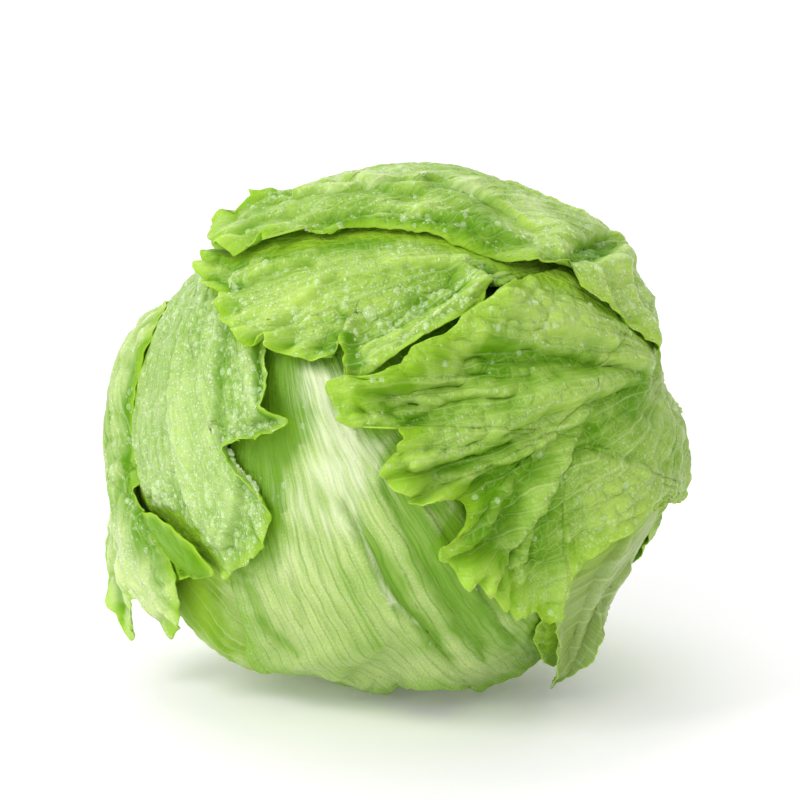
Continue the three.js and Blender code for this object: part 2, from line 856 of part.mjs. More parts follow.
    outline: [
      byStem(0, -2.2),
      byStem(42, -2.2),
      seen(652, 352, -2, 1),
      seen(612, 320, -1.5, 0),
      seen(572, 292, -0.5, 0.5),
      seen(545, 277, 1, 0.5, -60),
      seen(512, 262, 2, 0.5, -80),
      seen(470, 243, 2.5, 0.5, -90),
      seen(430, 226, 3, 0.5, -90),
      seen(394, 222, 3.5, 0.5, -90),
      seen(350, 220, 4, 0.8, -90),
      seen(322, 228, 4, 1, -80),
      seen(298, 240, 3.5, 1.5, -60),
      seen(274, 247, 2, 1.5),
      seen(260, 238, 1, 2),
      seen(248, 262, -1, 2),
      seen(228, 257, -1, 2),
      seen(217, 242, 0, 2),
      seen(220, 222, 3, 1),
      seen(232, 206, 5.5, 0.5),
      seen(244, 187, 8, 0),
      at(-97, 58, -1),
      at(-130, 52, 0),
      at(-168, 46, 0),
      at(165, 38, 0),
      at(146, 28, -1, 0.8),
      byStem(322, -2.2),
    ],
    folds: [
      { line: [seen(262, 212), seen(330, 198), seen(400, 188), seen(470, 203)], high: 3, wide: 9 },
      { line: [seen(300, 222), seen(370, 210), seen(440, 214)], high: -1.4, wide: 6 },
      { line: [seen(480, 183), seen(545, 208), seen(600, 236), seen(640, 290)], high: 2.4, wide: 8 },
      { line: [seen(560, 262), seen(585, 250), seen(602, 254)], high: -4.2, wide: 6 },
      { line: [seen(572, 276), seen(606, 268), seen(616, 244)], high: 2.8, wide: 4.5 },
      { line: [seen(556, 232), seen(552, 272)], high: 2.2, wide: 6 },
      { line: [seen(606, 264), seen(628, 300), seen(652, 346)], high: 2.4, wide: 5 },
      { line: [seen(588, 272), seen(606, 302), seen(632, 336)], high: -2, wide: 5 },
      { line: [seen(400, 176), seen(450, 182), seen(530, 222)], high: -1.8, wide: 7 },
    ],
  },
  {
    name: "far_left_leaf",
    centre: at(-87, -4),
    level: 5.5,
    ruffle: 0.8,
    wave: 19,
    phase: 1.5,
    flare: 2.4,
    points: 112,
    outline: [
      at(-93, 28, -1.4, 0.4),
      at(-86, 25, -1.6, 0.4),
      at(-80, 13, -1.8, 0.3),
      at(-78, 1, -1.8, 0.3),
      at(-73, -13, -0.8, 0.4),
      at(-66.5, -18.5, 0, 0.2),
      at(-64, -23, 1),
      at(-62, -30, 2),
      at(-63.5, -35, 5),
      at(-67.5, -37, 10.5),
      at(-70.5, -32, 8.7, 0.4),
      at(-74, -29, 7.7, 0),
      at(-77.5, -31, 12, 0.4),
      at(-79, -35, 17, 0.4),
      at(-82, -37, 21.7, 0),
      at(-84, -32, 20.8, 0.4),
      at(-86, -28, 17.5, 0.4),
      at(-90, -27, 19, 0),
      at(-92, -22, 14, 0.4),
      at(-103, -24, 12),
      at(-116, -18, 8),
      at(-124, -2, 3),
      at(-122, 14, 0),
      at(-107, 26, -1.4, 0.6),
    ],
    folds: [
      { line: [seen(132, 340), seen(118, 430), seen(124, 520), seen(132, 600)], high: 1.8, wide: 5 },
      { line: [seen(146, 520), seen(160, 570), seen(172, 610)], high: 1.6, wide: 5 },
    ],
  },
];

const laid = [];
leaves.forEach((leaf) => lay(leaf, laid));

// The tight inner head, one body, with a socket where the stem runs in.
function innerHead() {
  const ball = new THREE.IcosahedronGeometry(1, 5);
  const positions = ball.attributes.position;
  for (let i = 0; i < positions.count; i++) {
    const d = new THREE.Vector3().fromBufferAttribute(positions, i).normalize();
    const p = place(d, innerHeadHeight(d));
    positions.setXYZ(i, p.x, p.y, p.z);
  }
  const socket = new THREE.CylinderGeometry(stemRadius + stemGap, stemRadius + stemGap, 2 * stemDepth, 24);
  socket.applyQuaternion(new THREE.Quaternion().setFromUnitVectors(new THREE.Vector3(0, 1, 0), stemWay));
  socket.translate(...place(stemWay, 0));
  return solidOf(ball).subtract(solidOf(socket));
}

// The cut stem, a lobed stub with a rounded rim.
function stem() {
  const sides = 20;
  const lobes = 5;
  const outline = new THREE.Shape(
    Array.from({ length: sides }, (_, i) => {
      const turn = (2 * PI * i) / sides;
      const r = stemRadius - 2 + 0.6 * cos(lobes * turn);
      return new THREE.Vector2(r * cos(turn), r * sin(turn));
    }),
  );
  const bevel = 1.2;
  const length = stemDepth - stemGap + stemProud - 2 * bevel;
  const stub = new THREE.ExtrudeGeometry(outline, {
    depth: length,
    bevelThickness: bevel,
    bevelSize: bevel,
    bevelSegments: 1,
    curveSegments: 1,
  });
  stub.translate(0, 0, bevel - stemDepth + stemGap);
  stub.applyQuaternion(new THREE.Quaternion().setFromUnitVectors(new THREE.Vector3(0, 0, 1), stemWay));
  stub.translate(...place(stemWay, 0));
  return solidOf(stub);
}

const head = new THREE.Group();
head.add(meshOf("inner_head", innerHead(), 0xc8dc96));
head.add(meshOf("stem", stem(), 0xe9e3c4));
for (const leaf of leaves) head.add(meshOf(leaf.name, bladeSolid(leaf), 0x9ccb52));

export default head;
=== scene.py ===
import math
from functools import reduce

import bmesh
import bpy
import numpy as np
from mathutils import Matrix, Vector


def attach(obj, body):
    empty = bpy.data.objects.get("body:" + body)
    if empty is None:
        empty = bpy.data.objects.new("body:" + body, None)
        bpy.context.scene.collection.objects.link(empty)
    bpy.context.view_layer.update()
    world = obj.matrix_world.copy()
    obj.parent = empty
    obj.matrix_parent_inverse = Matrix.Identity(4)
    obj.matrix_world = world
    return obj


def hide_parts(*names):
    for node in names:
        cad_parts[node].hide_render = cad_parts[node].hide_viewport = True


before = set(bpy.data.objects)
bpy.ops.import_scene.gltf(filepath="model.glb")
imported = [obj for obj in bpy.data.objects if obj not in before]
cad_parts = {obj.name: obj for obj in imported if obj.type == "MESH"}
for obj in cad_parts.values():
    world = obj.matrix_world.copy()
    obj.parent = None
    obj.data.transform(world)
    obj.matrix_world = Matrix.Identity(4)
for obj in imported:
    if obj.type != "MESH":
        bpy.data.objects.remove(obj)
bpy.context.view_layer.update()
print("frame loaded", len(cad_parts), "nodes")

mm = 0.001
turnFull = 2 * np.pi

# The head as a whole, in millimetres, as the solids have it
headForm = {
    "width": 170,
    "depth": 168,
    "height": 163,
    "middleHeight": 79,  # above the surface it rests on
    "flatDepth": 79.3,  # from the middle down to the flat spot
    "flatBlend": 3,
    "innerLevel": -11,  # surface of the inner head, from the skin
    "clearance": 0.9,  # air between leaves
    "blade": 1.2,  # thickness that the leaves are laid with
    "floorGap": 0.4,
}
stemForm = {
    "round": 118,  # degrees round the head, 90 at the right
    "above": 8,  # degrees above its middle
    "radius": 13,
    "proud": 2,  # out of the skin
    "depth": 14,
    "gap": 0.6,
    "beside": 3.6,  # from the stem to the leaves round it
    "lobes": 5,
    "lobeHeight": 0.6,
}
# Drawn points of the leaves are in this view of the head, 800 pixels square
drawnView = {
    "elevation": 12,
    "distance": 900,
    "pixelsPerMm": 3.256,
    "centre": 400,
    "headX": 405,  # where the head's middle is
    "headY": 430,
}

middle = np.array([0, 0, headForm["middleHeight"]], float)
halfSize = np.array([headForm["width"], headForm["depth"], headForm["height"]]) / 2
meanRadius = halfSize.mean()
viewTilt = math.radians(drawnView["elevation"])
ahead = np.array([0, math.cos(viewTilt), -math.sin(viewTilt)])
upward = np.array([0, math.sin(viewTilt), math.cos(viewTilt)])
rightward = np.array([1.0, 0, 0])
eye = (
    middle
    + rightward * (drawnView["centre"] - drawnView["headX"]) / drawnView["pixelsPerMm"]
    + upward * (drawnView["headY"] - drawnView["centre"]) / drawnView["pixelsPerMm"]
    - ahead * drawnView["distance"]
)


def unit(v):
    return v / np.linalg.norm(v, axis=-1, keepdims=True)


def mix(a, b, t):
    return a + (b - a) * t


def smooth(low, high, x):
    t = np.clip((x - low) / (high - low), 0, 1)
    return t * t * (3 - 2 * t)


# A bell over a distance, 1 at its middle
def bell(away, wide):
    return np.exp(-((away / wide) ** 2))


# Millimetres straight across from one direction to others
def awayFrom(way, d):
    return np.linalg.norm(d - way, axis=-1) * meanRadius


# Numbers side by side, as the rows of corners that a mesh takes
def rowsOf(*columns):
    return np.column_stack(columns).tolist()


# Faces between two rings of a mesh, each given by its first point
def ringFaces(a, b, sides):
    i = np.arange(sides)
    j = (i + 1) % sides
    return rowsOf(a + i, a + j, b + j, b + i)


# A margin point where the drawn view shows it, with its lift over the skin
def seen(x, y, lift=None, ruffle=None, roll=0):
    ray = unit(
        ahead * drawnView["distance"]
        + rightward * (x - drawnView["centre"]) / drawnView["pixelsPerMm"]
        + upward * (drawnView["centre"] - y) / drawnView["pixelsPerMm"]
    )
    half = halfSize + (lift or 0)
    start, along = (eye - middle) / half, ray / half
    a, b = along @ along, start @ along
    hit = (-b - math.sqrt(max(b * b - a * (start @ start - 1), 0))) / a
    return unit(eye + ray * hit - middle), lift, ruffle, roll


# A line through points of the drawn view, given as x, y, x, y and so on
def drawn(*numbers):
    return [seen(x, y) for x, y in zip(numbers[::2], numbers[1::2])]


# A margin point by degrees round the head, 0 in front and 90 at the right, and degrees above its middle
def at(around, above, lift=None, ruffle=None, roll=0):
    lon, lat = math.radians(around), math.radians(above)
    way = np.array([math.sin(lon) * math.cos(lat), -math.cos(lon) * math.cos(lat), math.sin(lat)])
    return way, lift, ruffle, roll


lightWay = unit(np.array([-0.62, -0.33, 0.71]))  # towards the main light
stemWay = at(stemForm["round"], stemForm["above"])[0]
stemAbove = unit(np.array([0, 0, 1.0]) - stemWay * stemWay[2])
stemFront = np.cross(stemWay, stemAbove)


# A margin point beside the stem, by degrees round it from its top
def byStem(turn, lift, ruffle=0):
    out = (stemForm["radius"] + stemForm["beside"]) / meanRadius
    side = stemAbove * math.cos(math.radians(turn)) + stemFront * math.sin(math.radians(turn))
    return stemWay * math.cos(out) + side * math.sin(out), lift, ruffle, 0


# Soft lumps of the skin: where, how high, how wide
swells = [
    (seen(612, 235)[0], 3, 26),
    (seen(215, 635)[0], 2, 18),
    (seen(335, 700)[0], -5, 24),
    (seen(665, 560)[0], -3.5, 24),
    (seen(690, 380)[0], -4, 16),
    (seen(255, 190)[0], -2.5, 20),
]


def skinRadius(d):
    x, y, z = d[..., 0], d[..., 1], d[..., 2]
    broad = np.sin(4.1 * x + 1.3) * np.sin(3.7 * y + 0.4) + np.sin(4.6 * z + 2.1) * np.sin(3.3 * x - 0.7)
    small = np.sin(8.3 * y + 2.2) * np.sin(7.4 * z - 1.1) + np.sin(9.1 * x + 0.5) * np.sin(6.8 * z + 1.9)
    ball = 1 / np.linalg.norm(d / halfSize, axis=-1) + 0.9 * broad + 0.5 * small
    for way, high, wide in swells:
        ball = ball + high * bell(awayFrom(way, d), wide)
    flat = headForm["flatDepth"] / np.maximum(-z, 0.4)
    near = np.maximum(headForm["flatBlend"] - abs(ball - flat), 0) / headForm["flatBlend"]
    pressed = np.minimum(ball, flat) - near * near * headForm["flatBlend"] / 4
    return np.where(z > -0.4, ball, pressed)


def place(d, height):
    return d * (skinRadius(d) + height)[..., None] + middle


# Seeded gradient noise, about -1 to 1
noiseDraw = np.random.default_rng(11)
noiseOrder = noiseDraw.permutation(256)
noiseTurn = noiseDraw.random(256) * turnFull
noiseWays = unit(noiseDraw.normal(size=(256, 3)))


def flatNoise(x, y, seed=0):
    xi, yi = np.floor(x).astype(int), np.floor(y).astype(int)
    xf, yf = x - xi, y - yi

    def corner(i, j):
        turn = noiseTurn[noiseOrder[(noiseOrder[(xi + i + seed) & 255] + yi + j) & 255]]
        return np.cos(turn) * (xf - i) + np.sin(turn) * (yf - j)

    u, v = smooth(0, 1, xf), smooth(0, 1, yf)
    return 1.5 * mix(mix(corner(0, 0), corner(1, 0), u), mix(corner(0, 1), corner(1, 1), u), v)


def wayNoise(d, scale, seed=0):
    p = d * scale + 40.5
    cell = np.floor(p).astype(int)
    rest = p - cell
    ease = smooth(0, 1, rest)
    total = 0
    for corner in np.ndindex(2, 2, 2):
        x, y, z = [cell[..., n] + corner[n] for n in range(3)]
        turn = noiseOrder[(noiseOrder[(noiseOrder[(x + seed) & 255] + y) & 255] + z) & 255]
        share = [ease[..., n] if corner[n] else 1 - ease[..., n] for n in range(3)]
        total = total + (noiseWays[turn] * (rest - corner)).sum(-1) * share[0] * share[1] * share[2]
    return 1.5 * total


# A leaf's own map: arc from its centre and the bearing round it
def leafMap(centre):
    pole = np.array([0, 1.0, 0]) if abs(centre[2]) > 0.95 else np.array([0, 0, 1.0])
    east = unit(np.cross(pole, centre))
    return {"centre": centre, "east": east, "north": unit(np.cross(centre, east))}


def findOn(own, d):
    arc = np.arccos(np.clip(d @ own["centre"], -1, 1))
    return arc, np.arctan2(d @ own["north"], d @ own["east"])


def pointOn(own, arc, bearing):
    side = np.cos(bearing)[..., None] * own["east"] + np.sin(bearing)[..., None] * own["north"]
    return own["centre"] * np.cos(arc)[..., None] + side * np.sin(arc)[..., None]


# How finely the leaves are laid, the same as in the solids
laying = {
    "bearings": 144,
    "rings": 16,
    "curveSteps": 12,  # between two margin points
    "settleRounds": 10,
    "spread": 3.6,  # degrees round a point where what is beneath is felt
    "spreadSteps": 6,
    "overMargin": 1.03,  # share out to which a leaf holds off those above
}
ruffleStart = 0.7  # share of the way to the margin


# The drawn margin as columns by bearing: arc, lift, ruffle, roll and length run
def marginOf(leaf, bearings):
    rows = []
    for way, lift, ruffle, roll in leaf["outline"]:
        arc, bearing = findOn(leaf["map"], way)
        high = leaf["level"] if lift is None else lift
        wave = leaf["ruffle"] if ruffle is None else ruffle
        rows.append([arc * math.cos(bearing), arc * math.sin(bearing), high, wave, roll])
    rows = np.array(rows)
    steps = laying["curveSteps"] * bearings // laying["bearings"]
    t = (np.arange(steps) / steps)[None, :, None]
    a, b, c, d = [np.roll(rows, 1 - k, axis=0)[:, None, :] for k in range(4)]
    bent = 0.5 * (2 * b + (c - a) * t + (2 * a - 5 * b + 4 * c - d) * t**2 + (3 * b - a - 3 * c + d) * t**3)
    run = np.concatenate([bent[..., :2], mix(b, c, t)[..., 2:]], axis=-1).reshape(-1, 5)
    arcs, turns = np.hypot(run[:, 0], run[:, 1]), np.arctan2(run[:, 1], run[:, 0])
    table = np.zeros((bearings, 4))
    for i in range(len(run)):
        j = (i + 1) % len(run)
        turn = math.atan2(math.sin(turns[j] - turns[i]), math.cos(turns[j] - turns[i]))
        first = turns[i] / turnFull * bearings
        last = first + turn / turnFull * bearings
        for k in range(math.ceil(min(first, last)), math.floor(max(first, last)) + 1):
            s = 0 if last == first else (k - first) / (last - first)
            entry = [mix(arcs[i], arcs[j], s), *mix(run[i, 2:], run[j, 2:], s)]
            if entry[0] > table[k % bearings, 0]:
                table[k % bearings] = entry
    arc = table[:, 0]
    following = np.roll(arc, -1)
    lengths = np.hypot(following - arc, (arc + following) / 2 * turnFull / bearings) * meanRadius
    return {
        "table": np.column_stack([table, np.concatenate([[0], np.cumsum(lengths)[:-1]])]),
        "length": lengths.sum(),
        "count": bearings,
    }


def marginAt(margin, bearing):
    count, table = margin["count"], margin["table"]
    k = (bearing / turnFull * count) % count
    first = np.floor(k).astype(int) % count
    second = (first + 1) % count
    t = (k - np.floor(k))[..., None]
    end = table[second].copy()
    end[..., 4] = np.where(second == 0, margin["length"], end[..., 4])
    row = mix(table[first], end, t)
    return {name: row[..., n] for n, name in enumerate(("arc", "lift", "ruffle", "roll", "run"))}


# How far from a drawn line in millimetres, how far along it, and on which side
def nearLine(line, d):
    ways = [point[0] for point in line]
    nearest = np.full(d.shape[:-1], np.inf)
    share = np.zeros(d.shape[:-1])
    side = np.zeros(d.shape[:-1])
    for i in range(len(ways) - 1):
        way = ways[i + 1] - ways[i]
        t = np.clip((d - ways[i]) @ way / (way @ way), 0, 1)
        away = np.linalg.norm(ways[i] + t[..., None] * way - d, axis=-1) * meanRadius
        closer = away < nearest
        share = np.where(closer, (i + t) / (len(ways) - 1), share)
        side = np.where(closer, np.sign((d - ways[i]) @ np.cross(ways[i], way)), side)
        nearest = np.minimum(away, nearest)
    return nearest, share, side


# A drawn line rounded by cutting its corners twice
def bentLine(line):
    ways = [point[0] for point in line]
    for _ in range(2):
        cut = [ways[0]]
        for a, b in zip(ways[:-1], ways[1:]):
            cut += [mix(a, b, 0.25), mix(a, b, 0.75)]
        ways = cut + [ways[-1]]
    return [(unit(way),) for way in ways]


# Drawn folds: line, height, width and height at the line's end
def foldHeight(folds, d):
    height = np.zeros(d.shape[:-1])
    for line, high, wide, *end in folds:
        nearest, share, _ = nearLine(line, d)
        height += mix(high, end[0] if end else high, share) * bell(nearest, wide)
    return height


# The margin's waves, which the solids have too
def ruffleHeight(leaf, edge, share):
    swing = turnFull * edge["run"] / leaf["wave"] + leaf["phase"]
    wave = 0.5 + 0.5 * np.sin(swing + 1.1 * np.sin(swing * 0.37 + leaf["phase"]))
    return edge["ruffle"] * smooth(ruffleStart, 1, share) * wave


# The laid inner face over directions, and the share of the way to the margin
def heightOn(leaf, d):
    arc, bearing = findOn(leaf["map"], d)
    edge = marginAt(leaf["margin"], bearing)
    share = arc / edge["arc"]
    rings, bearings = laying["rings"], laying["bearings"]
    ring = np.minimum(share, 0.9999) * rings
    k = (bearing / turnFull * bearings) % bearings
    r, s = np.floor(ring).astype(int), np.floor(k).astype(int) % bearings
    heights, t = leaf["heights"], k - np.floor(k)
    low, high = [mix(heights[r + n, s], heights[r + n, (s + 1) % bearings], t) for n in (0, 1)]
    return mix(low, high, ring - r), edge, share


def innerHeadHeight(d):
    x, y, z = d[..., 0], d[..., 1], d[..., 2]
    return headForm["innerLevel"] + 0.8 * np.sin(9 * x + 4 * z) * np.sin(7 * y - 5 * z)


# The outermost face so far, over directions and a little to each side of them
def coveredTo(laid, d):
    pole = np.where(abs(d[..., 2:]) > 0.95, rightward, np.array([0, 0, 1.0]))
    side = unit(np.cross(d, pole))
    other = np.cross(d, side)
    out = math.radians(laying["spread"])
    top = innerHeadHeight(d)
    steps = laying["spreadSteps"]
    for i in range(steps + 1):
        turn = turnFull * i / steps
        probe = d if i == steps else unit(d + (side * math.cos(turn) + other * math.sin(turn)) * out)
        for lower in laid:
            height, edge, share = heightOn(lower, probe)
            face = height + edge["ruffle"] * smooth(ruffleStart, 1, share) + headForm["blade"]
            top = np.where(share <= laying["overMargin"], np.maximum(top, face), top)
    return top


# Lays a leaf over those already laid, raised softly wherever something beneath pushes it out
def lay(leaf, laid):
    leaf["map"] = leafMap(leaf["centre"][0])
    leaf["margin"] = marginOf(leaf, laying["bearings"])
    share = (np.arange(laying["rings"] + 1) / laying["rings"])[:, None]
    bearings = np.arange(laying["bearings"]) * turnFull / laying["bearings"]
    bearing = np.broadcast_to(bearings, (len(share), len(bearings)))
    edge = marginAt(leaf["margin"], bearing)
    d = pointOn(leaf["map"], edge["arc"] * share, bearing)
    own = mix(leaf["level"], edge["lift"], share ** leaf["flare"]) + foldHeight(leaf["folds"], d)
    least = coveredTo(laid, d) + headForm["clearance"]
    push = np.maximum(least - own, 0)
    soft = push
    for _ in range(laying["settleRounds"]):
        hub = np.full((1, laying["bearings"]), soft[1].mean())
        inner = np.concatenate([hub, soft[:-1]])
        outer = np.concatenate([soft[1:], soft[-1:]])
        beside = (np.roll(soft, 1, axis=1) + np.roll(soft, -1, axis=1)) / 2
        soft = np.maximum((soft + inner + outer + beside) / 4, push)
    soft[0] = soft[0].max()
    leaf["heights"] = own + soft
    leaf["room"] = leaf["heights"] - least  # air to spare beneath
    laid.append(leaf)


# Smooth version of a laid value, through the same points
def laidValue(heights, share, bearing):
    rings, bearings = laying["rings"], laying["bearings"]
    ring = np.clip(share * rings, 0, rings - 1e-4)
    k = (bearing / turnFull * bearings) % bearings
    r, s = np.floor(ring).astype(int), np.floor(k).astype(int)
    u, v = ring - r, k - s

    def weights(t):
        a, b = t**2, t**3
        return [(-t + 2 * a - b) / 2, (2 - 5 * a + 3 * b) / 2, (t + 4 * a - 3 * b) / 2, (b - a) / 2]

    total = 0
    for i, across in enumerate(weights(u)):
        for j, around in enumerate(weights(v)):
            total = total + across * around * heights[np.clip(r + i - 1, 0, rings), (s + j - 1) % bearings]
    return total


# What every leaf has beyond the solids, in millimetres unless it is a share
leafFinish = {
    "fineBearings": 720,  # round the margin
    "toothLength": 7.5,  # along the margin
    "toothDepth": 1.3,
    "nickLength": 2.6,
    "nickDepth": 0.45,
    "frillWave": 10.0,
    "frillShare": 1.1,  # of the leaf's own ruffle
    "frillLeast": 0.2,
    "fineWave": 4.6,
    "fineShare": 0.28,
    "frillReach": 10.0,  # in from the margin
    "frillReachShare": 0.3,  # at most, of the way to the leaf's centre
    "fineReach": 5.0,
    "fineReachShare": 0.2,
    "driftLength": 21,  # over which the frills' spacing drifts
    "livelyLength": 26,  # over which frills come and go
    "frillCovered": 0.2,  # kept where another leaf covers
    "frillRolled": 0.5,  # kept on a rolled rim
    "frillShadingTone": 0.5,  # painted shade in the hollows of the frills, painted light on their crests
    "lumpLength": 8.0,  # along the veins
    "lumpReach": 24.0,
    "shadeTone": 0.55,  # taken off in the shade of another leaf
    "shadeRim": 0.7,
    "shadeRib": 0.6,
    "marginRim": 0.75,  # strength of the rim colour
    "bladeMiddle": 0.75,  # thickness
    "bladeMargin": 0.35,
    "bladeRib": 0.5,
    "rollStart": 0.85,
    "rollRadius": 3.0,
    "hiddenShare": 0.3,  # of the relief that is kept where another leaf covers
    "shadeSteps": (0, 2.5, 5, 8),  # towards the light
    "shadeReach": 12,
    "coverEdge": (1.08, 0.98),  # shares between which a leaf's margin starts to cover
    "warpScale": 14,  # noise that bends the net of veins
    "warp": 1.2,
}


# Grid of a blade: shares and margin runs in rings, halved towards the centre, and its faces
def bladeGrid(around, ringCount):
    shares = 1 - np.arange(ringCount) / ringCount
    halved = [shares > 0.5, shares > 0.25, shares > 0.125]
    counts = np.select(halved, [around, around // 2, around // 4], around // 8)
    starts = np.concatenate([[0], np.cumsum(counts)])
    share = np.concatenate([np.full(n, s) for n, s in zip(counts, shares)] + [[1e-4]])
    run = np.concatenate([np.arange(n) / n for n in counts] + [[0.0]])
    faces = []
    for ring in range(ringCount - 1):
        outer, inner = counts[ring], counts[ring + 1]
        i = np.arange(inner)
        a, b = starts[ring + 1] + i, starts[ring + 1] + (i + 1) % inner
        if outer == inner:
            p, q = starts[ring] + i, starts[ring] + (i + 1) % outer
            faces += rowsOf(a, p, q, b)
        else:
            p, q, o = [starts[ring] + (2 * i + n) % outer for n in range(3)]
            faces += rowsOf(a, p, q) + rowsOf(a, q, b) + rowsOf(b, q, o)
    hub, last = len(share) - 1, starts[ringCount - 1]
    i = np.arange(counts[-1])
    faces += rowsOf(np.full(len(i), hub), last + i, last + (i + 1) % counts[-1])
    return share, run, faces, counts[0]


# The bearing at shares of the margin's length
def bearingAt(margin, run):
    runs = np.append(margin["table"][:, 4], margin["length"])
    return np.interp(run * margin["length"], runs, np.arange(len(runs)) * turnFull / margin["count"])


def pointNormals(points, faces):
    triangles = []
    for face in faces:
        triangles.append(face[:3])
        if len(face) == 4:
            triangles.append([face[0], face[2], face[3]])
    triangles = np.array(triangles)
    a, b, c = points[triangles[:, 0]], points[triangles[:, 1]], points[triangles[:, 2]]
    across = np.cross(b - a, c - a)
    total = np.zeros_like(points)
    for corner in range(3):
        for axis in range(3):
            total[:, axis] += np.bincount(triangles[:, corner], across[:, axis], len(points))
    return unit(total)


# Fan of veins from the leaf's base: bearing round it and millimetres from it
def veinFan(leaf, d):
    fan = leafMap(leaf["veinBase"][0])
    towards = findOn(fan, leaf["map"]["centre"])[1]
    arc, bearing = findOn(fan, d)
    turn = (bearing - towards + np.pi) % turnFull - np.pi
    return turn, arc * meanRadius


# Puffs between the smallest veins: 0 at a cell's edge, 1 well inside it
def cellPuffs(x, y, seed):
    xi, yi = np.floor(x).astype(int), np.floor(y).astype(int)
    first = np.full(x.shape, 9.0)
    second = np.full(x.shape, 9.0)
    for i in (-1, 0, 1):
        for j in (-1, 0, 1):
            pick = noiseOrder[(noiseOrder[(xi + i + seed) & 255] + yi + j) & 255]
            cellX = xi + i + 0.5 + 0.42 * np.cos(noiseTurn[pick])
            cellY = yi + j + 0.5 + 0.42 * np.sin(noiseTurn[pick])
            away = np.hypot(x - cellX, y - cellY)
            second = np.minimum(second, np.maximum(away, first))
            first = np.minimum(first, away)
    return smooth(0, 0.55, second - first)


# Fine relief and paint of every leaf; the amounts are the leaf's own
reliefForm = {
    "bendScales": (3.2, 11),  # noise that bends the veins, broad and fine
    "broad": (0.42, 46, 1.3),  # wrinkles: veins across, millimetres along, height
    "long": (0.9, 30, 1.0),
    "short": (1.9, 16, 0.6),
    "blisterScales": (10, 23),
    "sideVein": 0.6,  # of a main vein's height
    "sideVeinFrom": (6, 11),  # spacing of the veins between which side veins appear
    "baseFade": (3, 12),  # millimetres from the base over which the veins rise
    "ridge": 0.25,  # lift of a wrinkled blade
    "sink": (0.7, 4),  # deepest hollow, and what spare room adds at most
    "wobble": 1.1,
    "creaseEdge": 1.3,  # millimetres over which a crease steps
    "tone": 0.55,
    # Painted shade that follows the relief: hollows darker, crests lighter
    "wrinkleShading": 0.14,
    "creaseShading": 0.13,
    "blisterShading": 0.15,
    "puffShading": 0.15,
    "lumpShading": 0.3,
}
